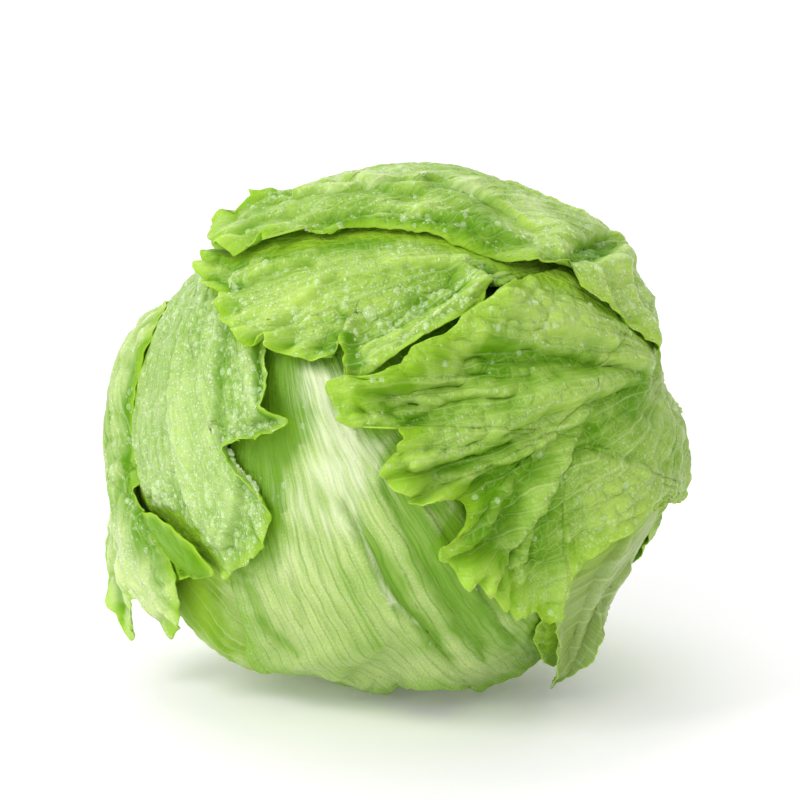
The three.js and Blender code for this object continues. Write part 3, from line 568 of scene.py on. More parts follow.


# Relief of a leaf: wrinkles that run with the veins, puffs between them, veins and drawn creases; and its
# tone, with painted shade that darkens the hollows of the relief, and given spots and lines
def leafRelief(leaf, d, share, covered, flat, room, inward):
    form, seed, veins = reliefForm, leaf["seed"], leaf["veins"]
    turn, far = veinFan(leaf, d)
    broadBend, fineBend = form["bendScales"]
    bend = leaf["bend"] * (wayNoise(d, broadBend, seed) + 0.3 * wayNoise(d, fineBend, seed + 3))
    phase = (turn + bend) * veins / turnFull
    spacing = turnFull * np.maximum(far, 1) / veins
    away = abs((phase + 0.5) % 1 - 0.5) * spacing
    forked = abs((2 * phase + 0.5) % 1 - 0.5) * spacing / 2
    main = bell(away, leaf["veinWide"])
    side = bell(forked, 0.8 * leaf["veinWide"]) * smooth(*form["sideVeinFrom"], spacing)
    fade = smooth(*form["baseFade"], far) * smooth(1.0, 0.9, share)
    rough = 0.45 + 0.75 * smooth(0.25, 0.95, share)

    def waves(kind, offset, pick):
        across, along, _ = form[kind]
        return flatNoise(phase * across + offset, far / along, seed + pick)

    broad, long, short = waves("broad", 3, 5), waves("long", 9, 8), waves("short", 5, 11)
    wrinkle = form["broad"][2] * broad + form["long"][2] * long + form["short"][2] * short
    wrinkle = wrinkle - 0.6 * (1 - abs(long)) ** 3 + 0.5 * (1 - abs(short)) ** 3 - 0.1
    puffs = cellPuffs(flat[:, 0] / leaf["puffSize"], flat[:, 1] / leaf["puffSize"], seed) - 0.5
    large, small = form["blisterScales"]
    blister = wayNoise(d, large, seed + 1) + 0.6 * wayNoise(d, small, seed + 2)
    relief = fade * leaf["veinHigh"] * (main + form["sideVein"] * side)
    relief = relief + rough * smooth(0, 14, far) * (leaf["wrinkle"] * wrinkle + leaf["blister"] * blister)
    relief = relief + rough * leaf["puff"] * puffs * (0.6 + 0.5 * wayNoise(d, 6, seed + 4))
    lumps = cellPuffs(phase * leaf["lumpVeins"], far / leafFinish["lumpLength"], seed + 40) - 0.6
    lumps = lumps * smooth(leafFinish["lumpReach"], 0.3 * leafFinish["lumpReach"], inward)
    lumps = lumps * smooth(-0.6, 0.3, wayNoise(d, 7, seed + 14))
    relief = relief + leaf["lumps"] * lumps
    relief = relief * mix(1, leafFinish["hiddenShare"], covered)
    sink = form["sink"][0] + np.clip(room, 0, form["sink"][1])
    relief = np.where(relief < 0, sink * np.tanh(relief / sink), relief) + form["ridge"] * leaf["wrinkle"]
    rib = np.zeros(d.shape[:-1])
    crease = np.zeros(d.shape[:-1])
    for line, wide, wideEnd, high, endShare in leaf["ribs"]:
        nearest, along, _ = nearLine(line, d)
        band = bell(nearest, mix(wide, wideEnd, along)) * smooth(-0.05, 0.12, along)
        rib = np.maximum(rib, band * mix(1, endShare, along))
        relief = relief + high * band * mix(1, 0.3, along) * mix(1, 0.5, covered)
    for line, high, low, wide in leaf["creases"]:
        nearest, along, side = nearLine(bentLine(line), d)
        signed = nearest * side + form["wobble"] * wayNoise(d, 16, seed + 9)
        ends = smooth(0, 0.18, along) * smooth(1, 0.8, along)
        step = mix(low, high, smooth(-form["creaseEdge"], form["creaseEdge"], signed))
        crease = crease + step * bell(nearest, wide) * ends
    relief = relief + np.where(crease < 0, sink * np.tanh(crease / sink), crease)
    for x, y, wide, strength in leaf["paleSpots"]:
        rib = np.maximum(rib, strength * bell(awayFrom(seen(x, y)[0], d), wide))
    rib = np.maximum(rib, leaf["basePale"] * smooth(26, 4, far))
    rib = rib * (0.85 + 0.45 * flatNoise(phase * 3, far / 18, seed + 13))
    mottle = 0.5 * wayNoise(d, 4.5, seed + 6) + 0.3 * wayNoise(d, 12, seed + 7)
    tone = form["tone"] + leaf["mottle"] * mottle
    # Painted shade: the hollows of wrinkles, creases, blisters, puffs and lumps darker, their crests lighter
    tone = tone + form["wrinkleShading"] * wrinkle + form["creaseShading"] * np.clip(crease, -3, 2)
    tone = tone + leaf["blister"] * form["blisterShading"] * blister + leaf["puff"] * form["puffShading"] * puffs
    tone = tone + form["lumpShading"] * leaf["lumps"] * lumps
    # Given spots and lines: darker ones are painted shade in hollows, gaps and under rims; lighter ones make
    # the tone paler
    for x, y, wide, amount in leaf["toneSpots"]:
        tone = tone + amount * bell(awayFrom(seen(x, y)[0], d), wide)
    for line, wide, amount in leaf["toneLines"]:
        nearest, along, _ = nearLine(bentLine(line), d)
        ends = smooth(0, 0.12, along) * smooth(1, 0.88, along)
        tone = tone + amount * ends * bell(nearest, wide)
    return relief, rib, np.column_stack([phase, far / 10]), tone


def nodeMesh(name, points, faces, material):
    mesh = bpy.data.meshes.new(name)
    mesh.from_pydata(points * mm, [], faces)
    mesh.polygons.foreach_set("use_smooth", [True] * len(mesh.polygons))
    mesh.materials.append(material)
    piece = bpy.data.objects.new(name, mesh)
    bpy.context.scene.collection.objects.link(piece)
    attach(piece, "root")
    return piece


# The point at every corner of a mesh
def cornersOf(mesh):
    corners = np.empty(len(mesh.loops), np.int32)
    mesh.loops.foreach_get("vertex_index", corners)
    return corners


# Writes a pair of numbers for every point as a UV map
def addPointMap(mesh, name, pairs):
    layer = mesh.uv_layers.new(name=name)
    layer.data.foreach_set("uv", pairs[cornersOf(mesh)].astype(np.float32).ravel())


# Writes four masks for every point as a colour: rib, rim (also painted shade), tone (with painted shade and
# paler spots) and how level the skin is
def addPaint(mesh, name, rows):
    layer = mesh.color_attributes.new(name, "FLOAT_COLOR", "POINT")
    layer.data.foreach_set("color", rows.astype(np.float32).ravel())


# Where a direction is covered by a leaf laid later, 0 to 1
def coverOver(leaf, laid, d):
    covered = np.zeros(d.shape[:-1])
    for upper in laid[laid.index(leaf) + 1 :]:
        arc, bearing = findOn(upper["map"], d)
        share = arc / marginAt(upper["margin"], bearing)["arc"]
        covered = np.maximum(covered, smooth(*leafFinish["coverEdge"], share))
    return covered


# How deep a direction lies in the shade of a leaf laid later, by steps towards the light
def shadeOver(leaf, laid, d):
    shade = np.zeros(d.shape[:-1])
    for step in leafFinish["shadeSteps"]:
        covered = coverOver(leaf, laid, unit(d + lightWay * step / meanRadius))
        shade = np.maximum(shade, covered * (1 - step / leafFinish["shadeReach"]))
    return shade


# Teeth and nicks of the margin along its length, as an arc
def marginTeeth(leaf, runMm, wavy):
    tooth = flatNoise(runMm / leafFinish["toothLength"], np.full_like(runMm, leaf["seed"] + 0.5), 3)
    nick = flatNoise(runMm / leafFinish["nickLength"], np.full_like(runMm, leaf["seed"] + 7.5), 4)
    return wavy * (leafFinish["toothDepth"] * tooth + leafFinish["nickDepth"] * nick) / meanRadius


# Fine waves of the margin, their swing, how far they reach in and where they are lively
def marginFrills(leaf, edge, inward):
    runMm, acrossMm = edge["run"], edge["arc"] * meanRadius

    def reachOf(reach, most):
        return smooth(1, 0, inward / np.minimum(leafFinish[reach], leafFinish[most] * acrossMm))

    reach = reachOf("frillReach", "frillReachShare")
    fineReach = reachOf("fineReach", "fineReachShare")
    drift = flatNoise(runMm / leafFinish["driftLength"], runMm * 0 + leaf["seed"], 5)
    swing = turnFull * runMm / leafFinish["frillWave"] + 4 * drift
    fineSwing = turnFull * runMm / leafFinish["fineWave"] - 7 * drift
    comes = flatNoise(runMm / leafFinish["livelyLength"], runMm * 0 + leaf["seed"] + 2.5, 6)
    lively = smooth(-0.5, 0.3, comes)
    frilled = leaf["frilled"] * leafFinish["frillShare"]
    frill = (frilled * edge["ruffle"] + leafFinish["frillLeast"]) * (0.5 + 0.5 * np.sin(swing))
    fine = leafFinish["fineShare"] * edge["ruffle"] * np.sin(fineSwing) * fineReach
    return (frill * reach + fine) * lively, swing, reach, lively


# A leaf's rim bent round a roll, wherever the margin points ask for one
def rolledRim(leaf, edge, share, bearing, raised):
    def flatLaid(s):
        d = pointOn(leaf["map"], edge["arc"] * s, bearing)
        return place(d, laidValue(leaf["heights"], s, bearing) + ruffleHeight(leaf, edge, s))

    start, radius = leafFinish["rollStart"], leafFinish["rollRadius"]
    origin = flatLaid(np.full_like(share, start))
    tangent = unit(origin - flatLaid(np.full_like(share, start - 0.04)))
    outward = unit(origin - middle)
    normal = unit(outward - tangent * (outward * tangent).sum(-1, keepdims=True))
    turn = np.radians(abs(edge["roll"])) * (share - start) / (1 - start)
    bent = origin + tangent * (radius * np.sin(turn))[:, None]
    bent += normal * (np.sign(edge["roll"]) * radius * (1 - np.cos(turn)))[:, None]
    return bent + normal * raised[:, None]


# The piece of one laid leaf: both faces of its blade, closed round the margin, with its maps and paint
def buildLeaf(leaf, laid, material):
    fine = marginOf(leaf, leafFinish["fineBearings"])
    share, run, faces, marginCount = bladeGrid(leaf["around"], leaf["ringCount"])
    bearing = bearingAt(fine, run)
    edge = marginAt(fine, bearing)
    wavy = leaf["ragged"] * np.clip(0.25 + edge["ruffle"] / 2, 0, 1.3) * smooth(-80, -30, edge["roll"])
    cut = marginTeeth(leaf, edge["run"], wavy)
    arc = edge["arc"] * share + cut * smooth(0.8, 1, share) * share
    d = pointOn(leaf["map"], arc, bearing)
    covered = coverOver(leaf, laid, d)
    shade = shadeOver(leaf, laid, d)
    flat = np.column_stack([arc * np.cos(bearing), arc * np.sin(bearing)]) * meanRadius
    room = laidValue(leaf["room"], share, bearing)
    inward = edge["arc"] * (1 - share) * meanRadius
    relief, rib, fan, tone = leafRelief(leaf, d, share, covered, flat, room, inward)
    frill, swing, reach, lively = marginFrills(leaf, edge, inward)
    # Painted shade and light on the frills: hollows darker, crests paler; and painted shade where another
    # leaf shades this one
    frillShading = np.sin(swing) * reach * lively * np.minimum(wavy, 1) * (1 - covered)
    tone = tone + leafFinish["frillShadingTone"] * frillShading - leafFinish["shadeTone"] * shade
    rib = rib * (1 - leafFinish["shadeRib"] * shade)
    frill = frill * mix(1, leafFinish["frillCovered"], covered) * np.minimum(wavy, 1)
    tuck = leaf["tuck"] * reach * smooth(2, 0.4, edge["ruffle"]) * smooth(4, 1, room)
    height = laidValue(leaf["heights"], share, bearing) + ruffleHeight(leaf, edge, share)
    face = place(d, height + relief + np.maximum(frill, -0.3) - tuck)
    rolled = (abs(edge["roll"]) >= 1) & (share > leafFinish["rollStart"])
    if rolled.any():
        raised = relief + frill * leafFinish["frillRolled"]
        face = np.where(rolled[:, None], rolledRim(leaf, edge, share, bearing, raised), face)
    normals = pointNormals(face, faces)
    thick = mix(leafFinish["bladeMiddle"], leafFinish["bladeMargin"], smooth(0.75, 1, share))
    outer = face + normals * (thick + leafFinish["bladeRib"] * rib)[:, None]
    face[:, 2] = np.maximum(face[:, 2], headForm["blade"])
    outer[:, 2] = np.maximum(outer[:, 2], 0.0 if leaf["restsOnFlat"] else headForm["floorGap"])
    n = len(face)
    closed = [list(reversed(f)) for f in faces] + [[i + n for i in f] for f in faces]
    closed += ringFaces(0, n, marginCount)
    piece = nodeMesh("leaf_" + leaf["name"], np.concatenate([face, outer]), closed, material)
    warp = np.column_stack([wayNoise(d, leafFinish["warpScale"], pick) for pick in (21, 22)])
    plane = (flat + warp * leafFinish["warp"]) / 10
    # Rim colour at the margin, and as painted shade where another leaf shades this one
    rim = leafFinish["marginRim"] * smooth(leaf["rimStart"], 1, share)
    rim = np.maximum(rim, leafFinish["shadeRim"] * shade)
    level = smooth(0.6, 0.88, abs((normals * unit(face - middle)).sum(-1)))
    paint = np.column_stack([np.clip(rib, 0, 1), rim, np.clip(tone, 0, 1), level])
    addPointMap(piece.data, "veinWay", np.concatenate([fan, fan]))
    addPointMap(piece.data, "leafPlane", np.concatenate([plane, plane]))
    addPaint(piece.data, "paint", np.concatenate([paint, paint]))
    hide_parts(leaf["name"])
    leaf["surface"] = {"points": outer, "normals": normals, "share": share, "covered": covered}


leaves = []


# Adds a leaf: its margin, as at(), byStem() or x, y, lift, ruffle and roll in the drawn view, and its facts
def addLeaf(name, centre, outline, **facts):
    usual = {
        "slot": "green_leaf",
        "level": -2.5,  # over the skin, millimetres
        "ruffle": 1.0,  # height of the margin's waves
        "wave": 20,  # length of the margin's waves
        "phase": 0,
        "flare": 4,  # the higher, the later the blade leaves its level
        "around": 232,
        "ringCount": 52,
        "veins": 44,
        "veinWide": 0.9,
        "veinHigh": 0.35,
        "bend": 0.05,
        "wrinkle": 0.8,
        "blister": 0.5,
        "puff": 0.5,
        "puffSize": 6.5,
        "lumps": 0.4,
        "lumpVeins": 1.0,  # lumps from vein to vein
        "ragged": 1.0,
        "frilled": 1.0,
        "tuck": 1.0,  # how far a calm margin sinks towards the leaf beneath
        "restsOnFlat": False,
        "basePale": 0.5,
        "rimStart": 0.86,
        "mottle": 0.7,
        "folds": [],  # line, height, width, height at the end
        "ribs": [],  # line, width, width at the end, height, strength at the end
        "creases": [],  # line, height on either side, width
        "paleSpots": [],  # x, y, width, strength
        # Spots and lines of painted shade, or of paler tone: x, y, width, amount; and line, width, amount
        "toneSpots": [],
        "toneLines": [],  # line, width, amount
        "look": {},
    }
    margin = [point if isinstance(point[0], np.ndarray) else seen(*point) for point in outline]
    leaves.append({"name": name, "centre": centre, "outline": margin, **usual, **facts})


# The loose leaves, from the innermost out
addLeaf(
    "underneath_leaf",
    at(180, -84),
    [
        at(0, -68, -5.5, 0.4), at(35, -62, -6), at(70, -52, -8), at(110, -46, -8.5), at(150, -42, -9),
        at(180, -40, -9), at(-150, -42, -9), at(-110, -46, -9), at(-70, -52, -9), at(-35, -62, -7, 0.4),
    ],
    level=-0.5, ruffle=0.8, wave=22, phase=5.2, flare=3, restsOnFlat=True, veinBase=at(118, -30),
    slot="pale_leaf", wrinkle=0.2, blister=0.15, seed=1, puff=0.1,
)
addLeaf(
    "lower_left_leaf",
    at(-48, -38),
    [
        at(-100, 2), at(-70, 8), at(-42, 2), at(-20, -12), at(-8, -35), (318, 668, -3), at(-8, -72, -5),
        at(-60, -76, -5), at(-105, -60), at(-118, -25),
    ],
    level=-8.5, ruffle=0.8, wave=26, phase=0.4, veinBase=at(-95, 20), slot="pale_leaf", seed=2,
    folds=[(drawn(188, 600, 214, 636, 254, 658), 11, 13)],
    toneSpots=[(205, 596, 14, -0.4), (236, 640, 8, -0.25)],
    toneLines=[(drawn(196, 590, 214, 622, 244, 654), 2, -0.4)],
)
addLeaf(
    "back_left_leaf",
    at(-142, 0),
    [
        at(-92, 30), at(-108, 50), at(-140, 60), at(-172, 52), at(-192, 25), at(-196, -10),
        at(-184, -42), at(-150, -60, -6), at(-112, -52), at(-92, -32), at(-84, 0),
    ],
    level=-7.5, ruffle=2, wave=24, phase=1.7, veinBase=at(-175, -50), seed=3,
)
addLeaf(
    "front_leaf",
    at(0, -20),
    [
        (250, 320, -7, 0), (330, 285, -7, 0), (430, 275, -7, 0), (520, 300, -7, 0), (590, 400, -7, 0),
        (600, 500, -6, 0), (590, 575, -5), (562, 625, -4), (550, 655, -2), (518, 680, 1),
        (480, 697, 2, 0), (462, 690, 0, 0), (430, 684, -2), (385, 690, -2), (340, 684, -2),
        (300, 668, -2), (262, 650, -2), (241, 610, -4), (228, 570, -6), (215, 500, -7), (225, 420, -7),
    ],
    level=-6.5, wave=30, phase=2.6, flare=5, veinBase=seen(285, 260), veins=64, veinHigh=0.3, mottle=0.5,
    wrinkle=0.3, blister=0.15, ragged=0.4, slot="pale_leaf", around=400, ringCount=84, seed=4, puff=0.12,
    basePale=0.0, bend=0.03,
    folds=[
        (drawn(302, 367, 322, 430, 341, 535, 389, 610, 453, 682), 1.8, 11, 1.8),
        (drawn(455, 530, 500, 600, 515, 660), 1.2, 10),
        (drawn(290, 520, 300, 600, 318, 650), 1.4, 12),
    ],
    ribs=[
        (drawn(306, 340, 330, 400, 350, 455, 352, 500, 344, 530), 7, 4, 0.2, 0.5),
        (drawn(346, 520, 369, 570, 389, 610, 417, 638, 453, 682), 0.8, 0.45, 0.2, 0.5),
    ],
    creases=[
        (drawn(330, 500, 350, 540, 369, 570, 389, 610, 417, 638, 453, 682), -1.7, 1.1, 4),
        (drawn(430, 440, 470, 520, 530, 600, 556, 640), -0.5, 0.7, 6),
        (drawn(400, 450, 430, 520, 480, 600, 520, 660), -0.6, 0.8, 6),
        (drawn(372, 470, 400, 540, 450, 620, 492, 680), -0.5, 0.7, 5),
        (drawn(262, 480, 280, 560, 300, 640), -0.5, 0.6, 6),
    ],
    paleSpots=[
        (340, 425, 13, 0.7), (372, 450, 13, 0.6), (330, 480, 12, 0.65), (318, 385, 9, 0.7),
        (330, 520, 11, 0.5), (300, 510, 12, 0.45), (290, 570, 18, 0.3),
    ],
    toneSpots=[
        (484, 600, 22, -0.45), (455, 560, 12, -0.1), (405, 600, 7, -0.2), (440, 645, 7, -0.2),
        (290, 620, 18, 0.4), (268, 452, 6, -0.9), (262, 486, 4, -0.7), (450, 500, 8, -0.3),
        (348, 350, 4, -1),
    ],
    toneLines=[
        (drawn(380, 440, 420, 500, 470, 580, 520, 650), 2.0, 0.5),
        (drawn(360, 500, 400, 570, 440, 630, 470, 680), 1.8, 0.5),
        (drawn(430, 470, 480, 550, 530, 620), 1.6, 0.45),
        (drawn(270, 345, 280, 375, 290, 402, 278, 440), 6.0, -1.4),
        (drawn(236, 440, 246, 468, 260, 494, 274, 520), 3.2, -1.0),
        (drawn(392, 470, 430, 530, 480, 600, 522, 660), 0.9, -0.5),
        (drawn(372, 480, 410, 545, 455, 620, 490, 676), 0.9, -0.45),
        (drawn(414, 470, 460, 530, 510, 600, 540, 640), 0.9, -0.45),
        (drawn(330, 560, 352, 610, 384, 660), 0.9, -0.3),
        (drawn(286, 540, 310, 610, 346, 668), 0.9, -0.3),
        (drawn(346, 520, 374, 570, 394, 606, 424, 640, 456, 676), 2.2, -0.35),
        (drawn(400, 490, 450, 560, 500, 630, 520, 670), 2.5, -0.2),
        (drawn(430, 500, 480, 570, 530, 630), 2, -0.15),
        (drawn(236, 590, 262, 640, 300, 664), 3, -0.4),
    ],
    # Dark vein colour: painted shade in the grooves beside the veins; dark rim colour: painted shade under
    # the leaves over it
    look={
        "veining": 0.62, "vein": (0.12, 0.29, 0.01), "veinWidth": 0.7, "deep": (0.18, 0.37, 0.03),
        "rim": (0.2, 0.42, 0.006),
    },
)
addLeaf(
    "lower_right_leaf",
    at(80, -40),
    [
        at(100, -5, -4.5, 0), at(70, 0, -4.5, 0), at(45, -14, -4.5, 0), at(36, -35, -4.5, 0),
        (542, 655, -1, 1.5), (562, 662, 0), (586, 640, 1), (604, 618, 2), at(80, -52, 2),
        at(100, -60, -1, 1), at(130, -60, -4, 1), at(152, -44, -4, 1), at(154, -22, -4.5, 0),
        at(128, -8, -4.5, 0),
    ],
    level=-5, ruffle=2.6, wave=15, phase=0.9, veinBase=at(112, 2), seed=5,
)
addLeaf(
    "left_leaf",
    seen(205, 420),
    [
        (262, 300, -5, 0), (268, 335, -4, 0.5), (270, 372, -2, 1.5), (270, 402, -1, 3), (284, 420, 1, 4),
        (262, 438, 0, 4), (232, 442, -2, 2), (238, 468, -2, 2), (256, 492, -2, 3), (270, 514, -1.5, 1),
        (262, 546, -1.5, 1.5), (246, 562, -1.5, 1.5), (230, 573, -1.5, 1.5), (206, 560, -2, 0),
        (168, 520, -4, 0), at(-88, -16, -4, 0), at(-112, 2, -4, 0), at(-116, 26, -4, 0),
        at(-98, 46, -4, 0), (215, 232, -4.5, 0),
    ],
    level=-4.2, ruffle=0.8, wave=24, phase=4.1, veinBase=seen(245, 175), veins=72, veinHigh=0.25,
    wrinkle=0.35, blister=0.55, around=400, ringCount=84, seed=6, puff=1.1, puffSize=5.5, basePale=0.2,
    mottle=0.35, ragged=1.6, frilled=1.5, lumps=0.6,
    folds=[
        (drawn(262, 318, 264, 360, 268, 400), 2.2, 4.5),
        (drawn(248, 326, 246, 370, 250, 412), -1.6, 5),
        (drawn(180, 320, 170, 420, 192, 510), 1.6, 8),
        (drawn(218, 300, 206, 400, 218, 480), -1.4, 7),
        (drawn(232, 480, 228, 520, 216, 552), 1.4, 7),
    ],
    creases=[
        (drawn(250, 318, 252, 360, 256, 412), -1.8, 1.8, 6),
        (drawn(176, 330, 166, 400, 178, 480, 200, 540), 1.1, -1.1, 8),
        (drawn(220, 300, 210, 380, 216, 450), -0.9, 1.1, 7),
        (drawn(236, 470, 236, 510, 222, 556), -1.2, 1.4, 6),
        (drawn(244, 420, 262, 414, 280, 418), 1.4, -1.4, 4),
    ],
    toneSpots=[(180, 420, 22, 0.2)],
    toneLines=[
        (drawn(252, 330, 254, 370, 262, 408, 280, 418), 1.6, -0.7),
        (drawn(222, 310, 214, 380, 220, 440, 240, 500), 2.5, -0.25),
        (drawn(238, 440, 240, 462, 258, 490, 268, 512), 1.8, -0.5),
    ],
    # A paler, whiter green: painted sheen of wet over this leaf
    look={"dew": 1.0, "green": (0.46, 0.65, 0.19)},
)
addLeaf(
    "hanging_right_leaf",
    seen(600, 570),
    [
        (540, 520, -4, 0), (548, 560, -3, 0), (550, 592, -1, 1.5), (554, 630, 2, 1.5), (557, 662, 5, 1),
        (552, 692, 8, 0), (562, 684, 8, 0), (576, 648, 5, 1), (592, 622, 3, 1.5), at(78, -38, 0),
        at(88, -28, -2, 0), at(90, -8, -3, 0), at(76, 3, -4, 0), (585, 470, -4, 0),
    ],
    level=-2.4, ruffle=0.6, wave=30, phase=0.2, flare=3, veinBase=seen(668, 490), veins=52, around=280,
    ringCount=60, seed=7, wrinkle=0.35, blister=0.25, puff=0.15, mottle=0.4, rimStart=0.975,
    folds=[(drawn(640, 500, 592, 560, 560, 650), 2, 7, 3), (drawn(600, 600, 584, 630), -1.5, 6)],
    creases=[
        (drawn(560, 650, 580, 590, 620, 530), -1.6, 1.8, 7),
        (drawn(576, 640, 600, 590, 630, 560), -1.2, 1.4, 6),
    ],
    look={
        "green": (0.32, 0.44, 0.14), "deep": (0.25, 0.38, 0.07), "net": 0.2, "veining": 0.35,
        "dew": 0.0,
    },
)
addLeaf(
    "right_back_leaf",
    at(104, -16),
    [
        byStem(112, -3.4), at(98, 4, -3.4, 0), at(86, -2, -3.4, 0), at(78, -12, -3, 0),
        at(82, -22, -2, 0.6), at(90, -30, -1.5, 1), at(100, -37, -1), at(112, -40, -0.5),
        at(130, -38, 0), at(144, -24, 0), at(142, -8, -2, 0.6), byStem(238, -2.4), byStem(195, -2.4),
        byStem(152, -2.4),
    ],
    ruffle=1.6, phase=3.3, veinBase=at(118, 8), seed=8,
)
addLeaf(
    "upper_front_leaf",
    seen(360, 290),
    [
        (235, 225, -3, 0), (217, 258, -1, 3), (208, 283, -1, 4), (228, 304, -1.5, 2),
        (234, 332, -1.5, 2), (262, 348, -1, 2), (274, 339, -1, 1.5), (280, 352, -1, 2),
        (307, 358, -0.5, 2), (332, 360, 0, 3), (341, 336, -1, 1), (354, 384, 0.5, 3),
        (371, 376, 0.5, 0.5), (404, 352, 1, 0), (448, 325, 1, 0), (480, 307, 1, 0.5),
        (490, 288, 0.5, 0.5), (540, 290, -2, 0), (556, 262, -4, 0), at(25, 82, -4, 0),
        at(-60, 78, -4, 0),
    ],
    level=-3.6, ruffle=1.4, phase=1.2, veinBase=seen(560, 258), veins=56, wrinkle=0.35, blister=0.6,
    around=400, ringCount=84, seed=9, puff=0.9, puffSize=6, basePale=0.3, mottle=0.4, ragged=1.5,
    frilled=1.5, lumps=0.8,
    folds=[
        (drawn(352, 374, 400, 344, 440, 318, 476, 288), 3.2, 6),
        (drawn(356, 340, 400, 326, 445, 296), -2.2, 6),
        (drawn(300, 262, 360, 268, 430, 268, 500, 272), 1.6, 8),
        (drawn(240, 300, 290, 290, 330, 300), 1.6, 8),
        (drawn(344, 344, 349, 374), 2.4, 4),
        (drawn(330, 338, 336, 362), -2, 4.5),
        (drawn(470, 262, 486, 276, 494, 290), 2, 4),
    ],
    creases=[
        (drawn(356, 350, 400, 330, 445, 304, 480, 276), -2, 1.8, 7),
        (drawn(228, 292, 270, 270, 320, 256), 1.4, -1.6, 6),
        (drawn(270, 346, 300, 300, 340, 270), 1, -1.2, 6),
        (drawn(334, 356, 342, 330, 352, 310), -2.2, 2, 5),
        (drawn(380, 262, 440, 262, 500, 268), 1, -1.2, 6),
        (drawn(462, 262, 480, 272, 492, 292), -1.6, 1.8, 5),
    ],
    toneSpots=[(420, 304, 7, -0.25), (280, 300, 16, 0.25)],
    toneLines=[
        (drawn(344, 344, 350, 360, 352, 378), 2.2, -1.2),
        (drawn(262, 256, 290, 252, 330, 240, 400, 230), 4.5, -0.7),
        (drawn(346, 332, 348, 352, 352, 372), 1.4, -0.9),
        (drawn(484, 262, 490, 276, 494, 292), 1.6, -0.7),
        (drawn(222, 262, 236, 268, 250, 262), 1.6, -0.8),
        (drawn(216, 282, 230, 290, 244, 284), 1.2, -0.6),
    ],
    look={"dew": 0.8},
)
